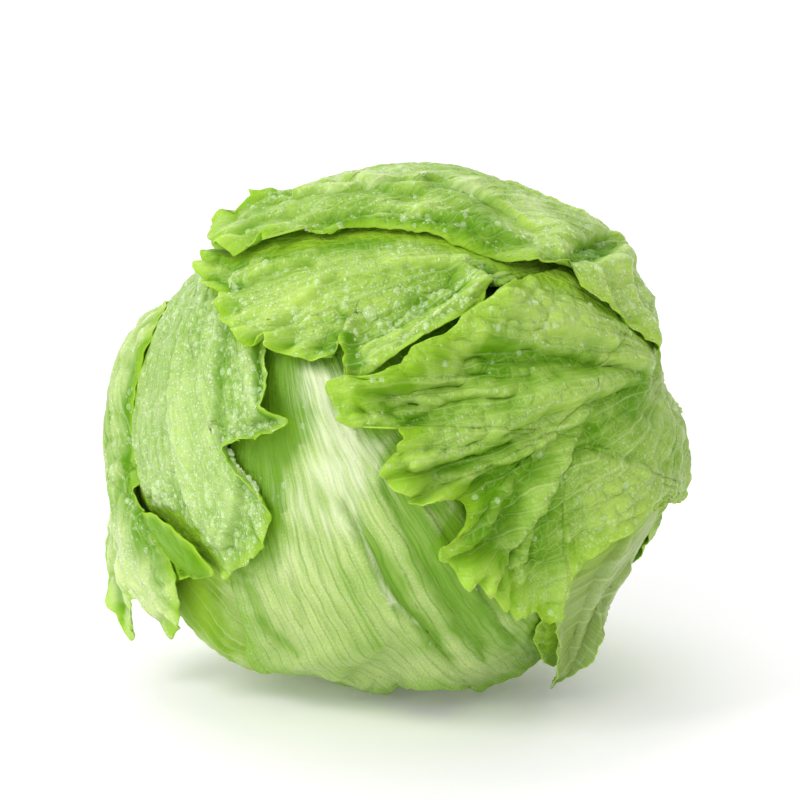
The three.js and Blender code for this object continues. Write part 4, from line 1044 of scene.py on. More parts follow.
addLeaf(
    "right_leaf",
    seen(560, 430),
    [
        byStem(78, -2.4), byStem(52, -2.4), at(98, 30, -3, 0), at(86, 36, -3.4, 0), (622, 292, -3.4, 0),
        (584, 266, -3.4, 0), (540, 276, -2.4, 0.4), (497, 296, -1.5, 0.5), (482, 308, -1, 0.5),
        (438, 341, -0.5, 1), (380, 377, 1, 2), (344, 384, 1.5, 3), (334, 397, 2, 4), (344, 414, 1, 3),
        (358, 427, 2, 4), (380, 417, 1, 3), (392, 398, 0, 2), (404, 426, 2, 4), (388, 450, 0, 4),
        (392, 480, 0, 4), (415, 500, 0, 4), (436, 491, 0, 3.5), (460, 506, 0, 4), (454, 530, 1, 4),
        (440, 549, 2, 4), (456, 568, 1, 3), (478, 578, 0.5, 3), (500, 597, 0.5, 3), (532, 609, 0.5, 2.5),
        (552, 600, 1, 1), (562, 570, 1, 0.4), (592, 546, 1, 0), (622, 524, 0.5, 0), (646, 507, 0, 0),
        (668, 501, 0, 0), at(86, -14, -1, 0.5), at(97, -12, -2, 0), byStem(126, -2.4),
    ],
    level=-2.6, ruffle=2, wave=17, phase=0.7, veinBase=seen(672, 372), veins=60, veinHigh=0.4,
    wrinkle=1.0, blister=0.9, around=400, ringCount=88, seed=10, puff=1.0, basePale=0.3, rimStart=0.74,
    ragged=1.8, frilled=2.0, lumps=1.2, lumpVeins=1.6, mottle=0.5,
    folds=[
        (drawn(640, 352, 590, 326, 540, 316, 495, 318), 3.6, 9),
        (drawn(636, 358, 600, 356, 560, 350, 475, 344, 452, 358), -3.2, 5.5, -4),
        (drawn(664, 376, 653, 410, 649, 445, 652, 480), -2.4, 5),
        (drawn(640, 378, 560, 392, 480, 428, 410, 462), 3, 8),
        (drawn(600, 402, 540, 434, 480, 462, 430, 478), -3, 5.5),
        (drawn(592, 408, 566, 462, 536, 530, 524, 566), 3.4, 6.5),
        (drawn(556, 430, 524, 480, 500, 540), -3.2, 7),
        (drawn(650, 490, 615, 515, 575, 550), 2.4, 8),
        (drawn(470, 398, 430, 410, 404, 420), 2.6, 5),
        (drawn(462, 384, 420, 394, 380, 398), -2.2, 5),
        (drawn(470, 500, 480, 530, 470, 560), 2.6, 5),
        (drawn(600, 470, 560, 520, 540, 575), -2.2, 7),
    ],
    creases=[
        (drawn(404, 470, 440, 464, 476, 452, 520, 436), 2.4, -2.6, 5),
        (drawn(448, 508, 470, 486, 500, 468, 540, 452), 2.6, -3.0, 5),
        (drawn(446, 556, 474, 540, 500, 516, 524, 490), 2.6, -3.0, 5),
        (drawn(490, 584, 506, 556, 524, 532, 548, 500), 2.4, -2.8, 5),
        (drawn(372, 392, 396, 388, 430, 384, 470, 378), 1.4, -2.2, 4),
        (drawn(338, 402, 352, 396, 364, 402, 370, 416), 1.4, -1.8, 3),
        (drawn(384, 416, 392, 404, 408, 400, 436, 402), 1.4, -2.4, 3.5),
        (drawn(348, 382, 362, 376, 382, 372, 404, 364), 0.8, -2.0, 3.5),
        (drawn(452, 352, 500, 343, 560, 350, 610, 360, 652, 370), 1.8, -3, 9),
        (drawn(410, 462, 480, 440, 540, 412, 600, 392, 650, 376), 2.2, -2.4, 8),
        (drawn(440, 486, 500, 470, 560, 440, 592, 408), 1.4, -2.4, 6),
        (drawn(520, 572, 536, 520, 566, 462, 592, 412), 2.2, -2.6, 8),
        (drawn(470, 556, 490, 520, 520, 480, 560, 446), 1.8, -2.2, 6),
        (drawn(546, 596, 580, 556, 620, 516, 652, 488), 1.6, -2.4, 8),
        (drawn(400, 424, 430, 404, 470, 396, 520, 392), 1.8, -2.4, 6),
        (drawn(640, 470, 600, 452, 570, 456), 1.4, -1.6, 6),
        (drawn(500, 430, 470, 446, 430, 452, 405, 470), 1.4, -1.8, 5),
        (drawn(540, 330, 580, 334, 620, 348), 0.9, -1.2, 5),
        (drawn(430, 372, 460, 366, 500, 370, 540, 372), 1.2, -1.6, 5),
    ],
    toneSpots=[
        (404, 428, 2.2, -1.4), (366, 398, 2.2, -0.9), (386, 410, 2.0, -0.8), (400, 384, 3.0, -0.8),
        (438, 360, 3.0, -0.8), (418, 376, 2.5, -0.7), (452, 500, 3.0, -0.8), (470, 540, 3.0, -0.8),
        (498, 560, 3.0, -0.7), (350, 392, 2.5, 0.5), (376, 384, 2.5, 0.5), (394, 396, 2.5, 0.4),
        (412, 446, 3.5, 0.5), (430, 470, 3.5, 0.5), (474, 516, 9, -0.5), (540, 530, 14, -0.35),
        (516, 494, 14, -0.4), (412, 428, 3, -1.0), (493, 361, 4, -0.7), (382, 388, 3.5, -0.7),
        (600, 510, 16, 0.3), (560, 315, 14, 0.3),
    ],
    toneLines=[
        (drawn(480, 344, 510, 342, 560, 352, 606, 360), 3, -0.5),
        (drawn(404, 480, 440, 474, 480, 456, 520, 442), 1.8, -0.5),
        (drawn(452, 520, 470, 494, 500, 472, 540, 456), 2, -0.5),
        (drawn(450, 552, 480, 540, 510, 516), 2, -0.5),
    ],
    look={
        "green": (0.4, 0.59, 0.09), "dew": 0.5, "roughness": 0.46, "veining": 0.37,
        "vein": (0.55, 0.7, 0.24), "veinWidth": 0.5, "net": 0.72, "bump": 0.6,
    },
)
addLeaf(
    "back_leaf",
    at(172, 2),
    [
        byStem(290, -2.4), at(134, 28, -2.4, 0), at(144, 42, -2), at(162, 52), at(-176, 54),
        at(-158, 40), at(-146, 14), at(-150, -14), at(-166, -36), at(-190, -46), at(152, -40),
        at(142, -20, -2), at(137, -6, -2.4, 0.4), byStem(252, -2.4),
    ],
    level=-2.6, ruffle=2.4, wave=21, phase=2.2, veinBase=at(118, 8), around=280, ringCount=60, seed=11,
)
addLeaf(
    "left_inner_leaf",
    seen(165, 560),
    [
        (128, 440, -2.6, 0), (140, 500, -1.5, 0), (160, 512, 0), (182, 532, 1.2), (202, 556, 2.5),
        (217, 571, 2), (204, 577, 0), (184, 577, -1), at(-78, -34, -1), at(-92, -32, -1),
        at(-104, -25, -1), at(-104, 0, -1, 0),
    ],
    level=-2.6, ruffle=0.5, phase=3.9, flare=3, veinBase=at(-98, 25), seed=12,
    folds=[(drawn(150, 500, 168, 548, 190, 586), 0.8, 6)],
    # A dark, deep green: painted shade, for a leaf that lies in the shade of the leaves over it
    look={
        "green": (0.17, 0.38, 0.002), "deep": (0.1, 0.27, 0.001), "pale": (0.3, 0.52, 0.02),
        "vein": (0.24, 0.46, 0.01), "dew": 0.0, "net": 0.1, "veining": 0.15, "roughness": 0.7,
    },
)
addLeaf(
    "crown_leaf",
    at(60, 70),
    [
        byStem(0, -2.2), byStem(42, -2.2), (652, 352, -2, 1), (612, 320, -1.5, 0), (572, 292, -0.5, 0.5),
        (545, 277, 1, 0.5, -60), (512, 262, 2, 0.5, -80), (470, 243, 2.5, 0.5, -90),
        (430, 226, 3, 0.5, -90), (394, 222, 3.5, 0.5, -90), (350, 220, 4, 0.8, -90),
        (322, 228, 4, 1, -80), (298, 240, 3.5, 1.5, -60), (274, 247, 2, 1.5), (260, 238, 1, 2),
        (248, 262, -1, 2), (228, 257, -1, 2), (217, 242, 0, 2), (220, 222, 3, 1), (232, 206, 5.5, 0.5),
        (244, 187, 8, 0), at(-97, 58, -1), at(-130, 52, 0), at(-168, 46, 0), at(165, 38, 0),
        at(146, 28, -1, 0.8), byStem(322, -2.2),
    ],
    level=-1.6, ruffle=1.4, wave=23, phase=5.6, veinBase=at(118, 8), veins=52, veinHigh=0.4, wrinkle=0.6,
    around=400, ringCount=88, seed=13, puff=0.7, puffSize=7, mottle=0.4, ragged=1.3, lumps=0.5,
    folds=[
        (drawn(262, 212, 330, 198, 400, 188, 470, 203), 3, 9),
        (drawn(300, 222, 370, 210, 440, 214), -1.4, 6),
        (drawn(480, 183, 545, 208, 600, 236, 640, 290), 2.4, 8),
        (drawn(560, 262, 585, 250, 602, 254), -4.2, 6),
        (drawn(572, 276, 606, 268, 616, 244), 2.8, 4.5),
        (drawn(556, 232, 552, 272), 2.2, 6),
        (drawn(606, 264, 628, 300, 652, 346), 2.4, 5),
        (drawn(588, 272, 606, 302, 632, 336), -2, 5),
        (drawn(400, 176, 450, 182, 530, 222), -1.8, 7),
    ],
    creases=[
        (drawn(300, 228, 350, 212, 420, 212, 470, 228, 530, 252), 1.4, -1, 7),
        (drawn(262, 208, 310, 196, 380, 182, 450, 176), 1.6, -1.8, 8),
        (drawn(556, 266, 580, 246, 604, 236), 2, -2.6, 7),
        (drawn(560, 268, 596, 272, 616, 250), -2, 2.2, 6),
        (drawn(655, 346, 630, 300, 608, 262), 1.6, -1.6, 6),
        (drawn(632, 336, 606, 302, 588, 276), 1.2, -1.4, 5),
        (drawn(440, 180, 490, 196, 540, 236), 1.6, -1.6, 8),
        (drawn(500, 178, 560, 200, 606, 236), 1.4, -1.4, 8),
        (drawn(240, 250, 262, 226, 300, 214), 1.6, -2, 6),
        (drawn(226, 240, 244, 214, 262, 200), 1.4, -1.6, 5),
        (drawn(340, 176, 380, 190, 430, 196), 1.2, -1.4, 6),
        ([at(-66, 66), at(-86, 63), at(-110, 60)], -4, -4, 6),
    ],
    paleSpots=[
        (330, 186, 7, 0.62), (372, 180, 7, 0.62), (420, 182, 7, 0.62), (470, 186, 7, 0.68),
        (530, 206, 7, 0.62), (232, 232, 3, 0.35),
    ],
    toneSpots=[
        (400, 200, 12, -0.25), (470, 222, 10, -0.35), (350, 212, 9, -0.35), (580, 250, 6, -0.4),
        (620, 290, 14, 0.3), (256, 238, 2.5, -1.0),
    ],
    toneLines=[
        (drawn(262, 246, 290, 246, 320, 232, 360, 223, 430, 226, 500, 256), 1.8, -0.55),
        (drawn(420, 214, 470, 222, 530, 250), 2.5, -0.4),
    ],
    look={"dew": 0.8},
)
addLeaf(
    "far_left_leaf",
    at(-87, -4),
    [
        at(-93, 28, -1.4, 0.4), at(-86, 25, -1.6, 0.4), at(-80, 13, -1.8, 0.3), at(-78, 1, -1.8, 0.3),
        at(-73, -13, -0.8, 0.4), at(-66.5, -18.5, 0, 0.2), at(-64, -23, 1), at(-62, -30, 2),
        at(-63.5, -35, 5), at(-67.5, -37, 10.5), at(-70.5, -32, 8.7, 0.4), at(-74, -29, 7.7, 0),
        at(-77.5, -31, 12, 0.4), at(-79, -35, 17, 0.4), at(-82, -37, 21.7, 0), at(-84, -32, 20.8, 0.4),
        at(-86, -28, 17.5, 0.4), at(-90, -27, 19, 0), at(-92, -22, 14, 0.4), at(-103, -24, 12),
        at(-116, -18, 8), at(-124, -2, 3), at(-122, 14, 0), at(-107, 26, -1.4, 0.6),
    ],
    level=5.5, ruffle=0.8, wave=19, phase=1.5, flare=2.4, veinBase=at(-100, 45), veins=60, around=440,
    ringCount=70, seed=14, wrinkle=0.9, blister=0.6, puff=0.6, ragged=2.4, tuck=1.9, lumps=0.8,
    mottle=0.4,
    folds=[
        (drawn(132, 340, 118, 430, 124, 520, 132, 600), 1.8, 5),
        (drawn(146, 520, 160, 570, 172, 610), 1.6, 5),
    ],
    creases=[([at(-76, -4), at(-73, -12), at(-67, -19), at(-63, -27)], -6, -6, 5)],
    toneLines=[([at(-86, 26), at(-80.5, 13), at(-78.6, 1), at(-75.5, -11)], 1.5, -0.8)],
    # A much paler green: painted light, making up for a leaf that faces away from the main light
    look={"green": (0.66, 0.79, 0.33), "pale": (0.82, 0.88, 0.6), "dew": 1.0},
)


def addNode(tree, kind, inputs=None, **settings):
    node = tree.nodes.new(kind)
    for name, value in settings.items():
        setattr(node, name, value)
    for key, value in (inputs or {}).items():
        if isinstance(value, bpy.types.NodeSocket):
            tree.links.new(value, node.inputs[key])
        else:
            node.inputs[key].default_value = value
    return node


# One step between node values, in the tree that they are in
def calc(operation, a, b=0.0, clamp=False):
    tree = (a if isinstance(a, bpy.types.NodeSocket) else b).id_data
    return addNode(tree, "ShaderNodeMath", {0: a, 1: b}, operation=operation, use_clamp=clamp).outputs[0]


def times(*values):
    return reduce(lambda a, b: calc("MULTIPLY", a, b), values)


def plus(*values):
    return reduce(lambda a, b: calc("ADD", a, b), values)


def ramp(value, low, high, to=(0.0, 1.0)):
    inputs = {"Value": value, "From Min": low, "From Max": high, "To Min": to[0], "To Max": to[1]}
    return addNode(value.id_data, "ShaderNodeMapRange", inputs, interpolation_type="SMOOTHSTEP").outputs[0]


def blendColour(share, a, b):
    return addNode(share.id_data, "ShaderNodeMix", {0: share, 6: a, 7: b}, data_type="RGBA").outputs[2]


def texture(kind, where, scale, inputs=None, **settings):
    inputs = {"Vector": where, "Scale": scale, **(inputs or {})}
    return addNode(where.id_data, "ShaderNodeTex" + kind, inputs, **settings).outputs


# Shared finish of every leaf: veins, their fine strands, the net between them, ribs, rim and tone, where rim
# and tone carry painted shade, and painted glints of wet on the lit parts
def makeLeafSurface():
    tree = bpy.data.node_groups.new("leafSurface", "ShaderNodeTree")
    sockets = {
        "Vector": ("Vein Way", "Leaf Plane"),
        "Color": ("Paint", "Green", "Deep Green", "Pale", "Vein Colour", "Rim"),
        "Float": ("Level", "Veins", "Vein Width", "Net", "Veining", "Dew", "Roughness"),
    }
    for kind, names in sockets.items():
        for name in names:
            tree.interface.new_socket(name, in_out="INPUT", socket_type="NodeSocket" + kind)
    for name, kind in {"Colour": "Color", "Roughness": "Float", "Film": "Float", "Height": "Float"}.items():
        tree.interface.new_socket(name, in_out="OUTPUT", socket_type="NodeSocket" + kind)
    given = tree.nodes.new("NodeGroupInput").outputs
    way = addNode(tree, "ShaderNodeSeparateXYZ", {0: given["Vein Way"]}).outputs
    phase, far = way[0], times(way[1], 10.0)
    spacing = calc("DIVIDE", times(far, math.tau), given["Veins"])
    plane = given["Leaf Plane"]

    # Veins as thin lines, with more of them between by repeating, faded out where they lie too close
    def veinLines(repeat, width, low, high):
        fraction = calc("FRACT", plus(times(phase, repeat), 0.5))
        gap = calc("DIVIDE", spacing, repeat)
        away = times(calc("ABSOLUTE", calc("SUBTRACT", fraction, 0.5)), gap)
        line = ramp(calc("DIVIDE", away, times(given["Vein Width"], width)), 0.2, 1.0, (1, 0))
        return times(line, ramp(gap, low, high))

    main = times(veinLines(1.0, 1.0, 0.2, 1.5), ramp(far, 130.0, 60.0, (0.5, 1.0)))
    second = times(veinLines(2.0, 0.7, 2.0, 4.5), 0.7)
    third = times(veinLines(4.0, 0.5, 2.0, 4.5), 0.4)
    which = calc("FLOOR", plus(phase, 0.5))
    strength = addNode(tree, "ShaderNodeTexWhiteNoise", {"W": which}, noise_dimensions="1D").outputs[0]
    main = times(main, ramp(strength, 0.0, 1.0, (0.25, 1.0)))
    veins = calc("MAXIMUM", main, calc("MAXIMUM", second, third))

    strandAt = addNode(tree, "ShaderNodeCombineXYZ", {0: times(phase, 7.0), 1: times(far, 0.07)}).outputs[0]
    strand = texture("Noise", strandAt, 1.0, {"Detail": 2.0}, noise_dimensions="2D")[0]
    strands = ramp(strand, 0.3, 0.7)

    cells = texture("Voronoi", plane, 2.6, feature="DISTANCE_TO_EDGE", voronoi_dimensions="2D")[0]
    netLine = ramp(cells, 0.0, 0.1, (1, 0))
    netDome = ramp(cells, 0.0, 0.4)
    grain = texture("Noise", plane, 16.0, {"Detail": 1.0}, noise_dimensions="2D")[0]

    # Colours, from the blade's own to painted glints on the lit parts: pale specks of wet and whitish beads
    # of dew
    rib, rim, tone = addNode(tree, "ShaderNodeSeparateColor", {0: given["Paint"]}).outputs
    toned = calc("ADD", times(tone, 0.95), ramp(strands, 0.0, 1.0, (-0.07, 0.09)), clamp=True)
    body = blendColour(toned, given["Deep Green"], given["Green"])
    net = times(given["Net"], given["Level"])
    netShare = times(netLine, net, 0.3)
    pale = calc("MAXIMUM", netShare, times(veins, given["Veining"]), clamp=True)
    veined = blendColour(pale, body, given["Vein Colour"])
    ribAt = plus(rib, times(calc("SUBTRACT", strands, 0.5), 0.16))
    ribbed = blendColour(ramp(ribAt, 0.05, 0.9), veined, given["Pale"])
    # Rim colour at the margins, and as painted shade where another leaf shades this one
    rimmed = blendColour(times(rim, 0.9), ribbed, given["Rim"])
    lit = ramp(tone, 0.1, 0.6)
    # Painted sheen: pale specks where the painted tone is light
    wetSheenSpecks = blendColour(times(ramp(grain, 0.4, 0.75, (0.0, 0.14)), lit), rimmed, given["Pale"])
    # Painted glints: whitish beads of dew where the painted tone is light; they are also raised and glossier
    beads = texture("Voronoi", plane, 10.0, voronoi_dimensions="2D")
    chance = addNode(tree, "ShaderNodeSeparateColor", {0: beads["Color"]}).outputs[0]
    size = ramp(chance, 0.25, 1.0, (0.05, 0.5))
    bead = ramp(calc("DIVIDE", beads["Distance"], size), 0.5, 1.0, (1, 0))
    bead = times(bead, calc("GREATER_THAN", chance, 0.3), given["Dew"], given["Level"])
    dewGlints = blendColour(times(bead, 0.4, lit), wetSheenSpecks, (0.88, 0.96, 0.76, 1))

    wet = ramp(tone, 0.3, 0.75, (0.06, -0.08))
    rough = plus(given["Roughness"], wet, ramp(grain, 0.3, 0.7, (-0.08, 0.08)))
    rough = calc("SUBTRACT", rough, times(bead, 0.22))
    rough = plus(rough, ramp(rim, 0.6, 1.0, (0.0, 0.45)))
    height = plus(times(veins, 0.5), times(strands, 0.22), times(netDome, net), times(bead, 0.6))
    film = times(ramp(rim, 0.4, 0.9, (0.3, 0.0)), ramp(tone, 0.35, 0.7))
    addNode(tree, "NodeGroupOutput", {"Colour": dewGlints, "Roughness": rough, "Film": film, "Height": height})
    return tree


# Joins outputs to the inputs of a node, by the inputs' names
def wire(node, outputs):
    for name, output in outputs.items():
        node.id_data.links.new(output, node.inputs[name])


def makeMaterial(name, base, shader):
    material = bpy.data.materials.new(name)
    material.use_nodes = True
    surface = material.node_tree.nodes["Principled BSDF"]
    for key, value in {"Base Color": (*base, 1), **shader}.items():
        surface.inputs[key].default_value = value
    return material, surface


def mapNamed(tree, name):
    return addNode(tree, "ShaderNodeUVMap", uv_map=name).outputs[0]


leafGroup = makeLeafSurface()
leafLook = {
    "green": (0.44, 0.64, 0.09),
    # Deep green: the darker mottle, and painted shade in hollows and shaded places
    "deep": (0.12, 0.31, 0.002),
    "pale": (0.64, 0.77, 0.36),
    "vein": (0.64, 0.77, 0.36),
    # Rim colour: the margins, and painted shade under other leaves
    "rim": (0.36, 0.60, 0.03),
    "veinWidth": 0.55,  # millimetres
    "net": 0.6,
    "veining": 0.26,
    "dew": 0.8,
    "roughness": 0.42,
    "bump": 0.5,  # millimetres
    "bumpStrength": 0.75,
}
paleLook = {
    **leafLook,
    "green": (0.53, 0.68, 0.21),
    "deep": (0.2, 0.4, 0.012),
    "pale": (0.78, 0.85, 0.56),
    "vein": (0.7, 0.8, 0.46),
    "net": 0.2,
    "veining": 0.45,
    "dew": 0.3,
}
leafShader = {
    "Subsurface Weight": 0.5,
    "Subsurface Radius": (0.7, 1.0, 0.25),
    "Subsurface Scale": 1.0 * mm,
    "Coat Roughness": 0.1,
    "Specular IOR Level": 0.14,
}


def leafMaterial(name, veins, look):
    material, surface = makeMaterial(name, look["green"], leafShader)
    tree = surface.id_data
    paint = addNode(tree, "ShaderNodeVertexColor", layer_name="paint").outputs
    colours = {"Green": "green", "Deep Green": "deep", "Pale": "pale", "Vein Colour": "vein", "Rim": "rim"}
    values = {"Vein Width": "veinWidth", "Net": "net", "Veining": "veining", "Dew": "dew"}
    inputs = {
        "Vein Way": mapNamed(tree, "veinWay"),
        "Leaf Plane": mapNamed(tree, "leafPlane"),
        "Paint": paint[0],
        "Level": paint[1],
        "Veins": veins,
        "Roughness": look["roughness"],
        **{socket: (*look[key], 1) for socket, key in colours.items()},
        **{socket: look[key] for socket, key in values.items()},
    }
    finish = addNode(tree, "ShaderNodeGroup", inputs, node_tree=leafGroup, name="leafSurface").outputs
    bump = {"Height": finish["Height"], "Strength": look["bumpStrength"], "Distance": look["bump"] * mm}
    normal = addNode(tree, "ShaderNodeBump", bump).outputs[0]
    wire(surface, {"Base Color": finish["Colour"], "Roughness": finish["Roughness"]})
    wire(surface, {"Coat Weight": finish["Film"], "Normal": normal})
    return material


laid = []
for each in leaves:
    lay(each, laid)
print("laid", len(laid), "leaves")

for each in leaves:
    look = paleLook if each["slot"] == "pale_leaf" else leafLook
    buildLeaf(each, laid, leafMaterial(each["name"] + "Skin", each["veins"], {**look, **each["look"]}))
print("built the loose leaves")


# The tight inner head: a ball of overlapping inner leaves whose margins show as soft steps
innerLook = {
    "detail": 6,  # how often the ball's faces are halved
    "steps": 9,
    "stepHigh": 0.8,
    "stemDip": 3.6,  # under the stem
    "veins": 60,
    "colour": (0.55, 0.72, 0.26),
    "deep": (0.36, 0.58, 0.11),
}


def buildInnerHead():
    work = bpy.data.meshes.new("work")
    ball = bmesh.new()
    bmesh.ops.create_icosphere(ball, subdivisions=innerLook["detail"], radius=1)
    ball.to_mesh(work)
    ball.free()
    d = np.empty(len(work.vertices) * 3)
    work.vertices.foreach_get("co", d)
    d = unit(d.reshape(-1, 3))
    faces = cornersOf(work).reshape(-1, 3).tolist()
    bpy.data.meshes.remove(work)
    x, y, z = d.T
    turn = np.arctan2(y, x) + 1.4 * z + 0.25 * wayNoise(d, 3, 6)
    layer = (turn * innerLook["steps"] / turnFull) % 1
    step = innerLook["stepHigh"] * (smooth(0, 0.06, layer) - 1) * smooth(1.0, 0.6, abs(z))
    height = innerHeadHeight(d) + step + 0.35 * wayNoise(d, 9, 7) - 0.2
    beside = awayFrom(stemWay, d)
    height -= innerLook["stemDip"] * smooth(stemForm["radius"] + 5, stemForm["radius"] + 1.2, beside)
    look = {**paleLook, "green": innerLook["colour"], "deep": innerLook["deep"]}
    material = leafMaterial("innerHeadSkin", innerLook["veins"], look)
    piece = nodeMesh("inner_head_ball", place(d, height), faces, material)
    addPointMap(piece.data, "veinWay", np.column_stack([turn * innerLook["veins"] / turnFull, 4 + 4 * z]))
    addPointMap(piece.data, "leafPlane", np.column_stack([x + 0.3 * y, z]) * meanRadius / 10)
    addPaint(piece.data, "paint", np.tile([0.0, 0.0, 0.0, 1.0], (len(d), 1)))
    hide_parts("inner_head")


buildInnerHead()


# The cut stem: a lobed stub with a rounded rim, a sunken pith and a ring of vascular marks
stemLook = {
    "sides": 120,
    "rim": 1.2,
    "pithDip": 0.5,
    "rough": 0.12,
    "rimRough": 0.15,
    "cream": (0.78, 0.72, 0.46),
    "brown": (0.45, 0.27, 0.09),
}
stemShader = {"Subsurface Weight": 0.2, "Subsurface Radius": (1.0, 0.8, 0.4), "Subsurface Scale": 1.5 * mm}


def stemMaterial():
    material, surface = makeMaterial("stemCut", stemLook["cream"], stemShader)
    tree = surface.id_data
    plane = mapNamed(tree, "cutFace")
    radius = addNode(tree, "ShaderNodeVectorMath", {0: plane}, operation="LENGTH").outputs[1]
    wobble = texture("Noise", plane, 2.2, {"Detail": 4.0})[0]
    ringAt = plus(radius, times(calc("SUBTRACT", wobble, 0.5), 0.35))
    ring = times(ramp(ringAt, 0.62, 0.74), ramp(ringAt, 0.9, 0.78))
    marks = times(ramp(texture("Voronoi", plane, 9.0)[0], 0.32, 0.12), ring)
    blot = texture("Noise", plane, 1.4, {"Detail": 5.0, "Roughness": 0.65})[0]
    edge = ramp(ringAt, 0.86, 1.08)
    brown = plus(times(ramp(blot, 0.45, 0.75), 0.45), edge)
    brown = calc("ADD", brown, times(marks, 0.5), clamp=True)
    colour = blendColour(brown, (*stemLook["cream"], 1), (*stemLook["brown"], 1))
    grain = texture("Noise", plane, 14.0, {"Detail": 4.0})[0]
    bump = {"Height": grain, "Strength": 0.6, "Distance": 0.5 * mm}
    normal = addNode(tree, "ShaderNodeBump", bump).outputs[0]
    wire(surface, {"Base Color": colour, "Roughness": ramp(blot, 0.3, 0.7, (0.5, 0.75)), "Normal": normal})
    return material


def buildStem():
    sides, rim = stemLook["sides"], stemLook["rim"]
    turn = np.arange(sides) * turnFull / sides
    edge = stemForm["radius"] - 0.8 + stemForm["lobeHeight"] * np.cos(stemForm["lobes"] * turn)
    edge = edge + stemLook["rimRough"] * flatNoise(turn * 4, turn * 0 + 3.3)
    bottom, top = stemForm["gap"] - stemForm["depth"], stemForm["proud"]
    inset = rim / stemForm["radius"]
    rings = [(0.0, bottom), (0.5, bottom), (0.92, bottom)]
    rings += [(1.0, mix(bottom + rim, top - rim, k / 8)) for k in range(9)]
    for a in np.linspace(0.3, np.pi / 2, 5):
        rings.append((1 - inset * (1 - math.cos(a)), top - rim + rim * math.sin(a)))
    for share in (0.8, 0.68, 0.55, 0.42, 0.3, 0.2, 0.1, 0.0):
        rings.append((share, top - stemLook["pithDip"] * smooth(0.85, 0.3, share)))
    points, faces, cut = [], [], []
    side = np.cross(stemAbove, stemWay)
    for share, high in rings:
        roundness = edge if share > 0.3 else mix(edge.mean(), edge, share / 0.3)
        flat = np.column_stack([np.cos(turn), np.sin(turn)]) * (roundness * share)[:, None]
        rough = stemLook["rough"] * flatNoise(flat[:, 0] * 0.6, flat[:, 1] * 0.6, 9)
        rough = rough * (high > bottom + 1) * (share < 0.99)
        points.append(flat[:, :1] * side + flat[:, 1:] * stemAbove + (high + rough)[:, None] * stemWay)
        cut.append(flat / stemForm["radius"])
    for k in range(len(rings) - 1):
        faces += ringFaces(k * sides, (k + 1) * sides, sides)
    points = np.concatenate(points) + place(stemWay, np.zeros(()))
    piece = nodeMesh("stem_stub", points, faces, stemMaterial())
    addPointMap(piece.data, "cutFace", np.concatenate(cut))
    stub = bmesh.new()
    stub.from_mesh(piece.data)
    bmesh.ops.remove_doubles(stub, verts=stub.verts, dist=1e-6)
    bmesh.ops.recalc_face_normals(stub, faces=stub.faces)
    stub.to_mesh(piece.data)
    stub.free()
    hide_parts("stem")


buildStem()
print("built the inner head and the stem")


# Water drops on the skin of the leaves, more of them at the left and on top
dropLook = {
    # Milky, whitish colour: painted highlight standing in for the glints of clear water, more opaque towards
    # the rims as painted reflection
    "colour": (0.84, 0.97, 0.62),
    "middle": 0.25,  # how opaque
    "edge": 0.5,
    "seed": 7,
    "count": 2400,
    "steepest": -0.15,  # upward part of the normal that still holds a drop
    "smallest": 0.42,  # radius, millimetres
    "largest": 1.15,
    "height": 0.8,  # of the radius
    "sunk": 0.22,  # of the radius
    "depth": 0.35,  # of the radius, of the closed underside
    "stretch": 0.35,  # at most
    "small": 0.5,  # radius under which the first of these is used
    "facets": ((7, 2), (10, 4)),  # sides and levels
    "share": {
        "left_leaf": 1.0,
        "upper_front_leaf": 0.4,
        "crown_leaf": 0.35,
        "right_leaf": 0.12,
        "front_leaf": 0.12,
        "far_left_leaf": 0.3,
        "back_leaf": 0.15,
        "right_back_leaf": 0.1,
    },
}
# Larger drops that the photo shows, each with its radius
drawnDrops = [
    (369, 309, 2.3),
    (346, 287, 1.3),
    (318, 284, 1.1),
    (296, 310, 1.3),
    (343, 304, 1.0),
    (222, 370, 1.1),
]


def dropMaterial():
    shader = {"IOR": 1.33, "Roughness": 0.06, "Specular IOR Level": 1.0}
    material, surface = makeMaterial("waterDrop", dropLook["colour"], shader)
    tree = surface.id_data
    facing = addNode(tree, "ShaderNodeLayerWeight", {"Blend": 0.3}).outputs["Facing"]
    shadowRay = addNode(tree, "ShaderNodeLightPath").outputs["Is Shadow Ray"]
    clear = ramp(facing, 0.1, 0.9, (dropLook["middle"], dropLook["edge"]))
    wire(surface, {"Alpha": times(clear, calc("SUBTRACT", 1.0, shadowRay))})
    return material


# Where drops may lie on the leaves: points, normals and how likely each is
def dropPlaces():
    points, normals, weights = [], [], []
    for each in leaves:
        surface = each["surface"]
        share = surface["share"]  # the rings hold equal counts, so outer points stand for more skin
        keep = (surface["covered"] < 0.02) & (share < 0.94) & (share > 0.02)
        keep &= surface["normals"][:, 2] > dropLook["steepest"]
        patch = 0.35 + smooth(-0.2, 0.5, wayNoise(unit(surface["points"] - middle), 4, 15))
        points.append(surface["points"][keep])
        normals.append(surface["normals"][keep])
        weights.append((dropLook["share"].get(each["name"], 0) * patch * share)[keep])
    return [np.concatenate(each) for each in (points, normals, weights)]


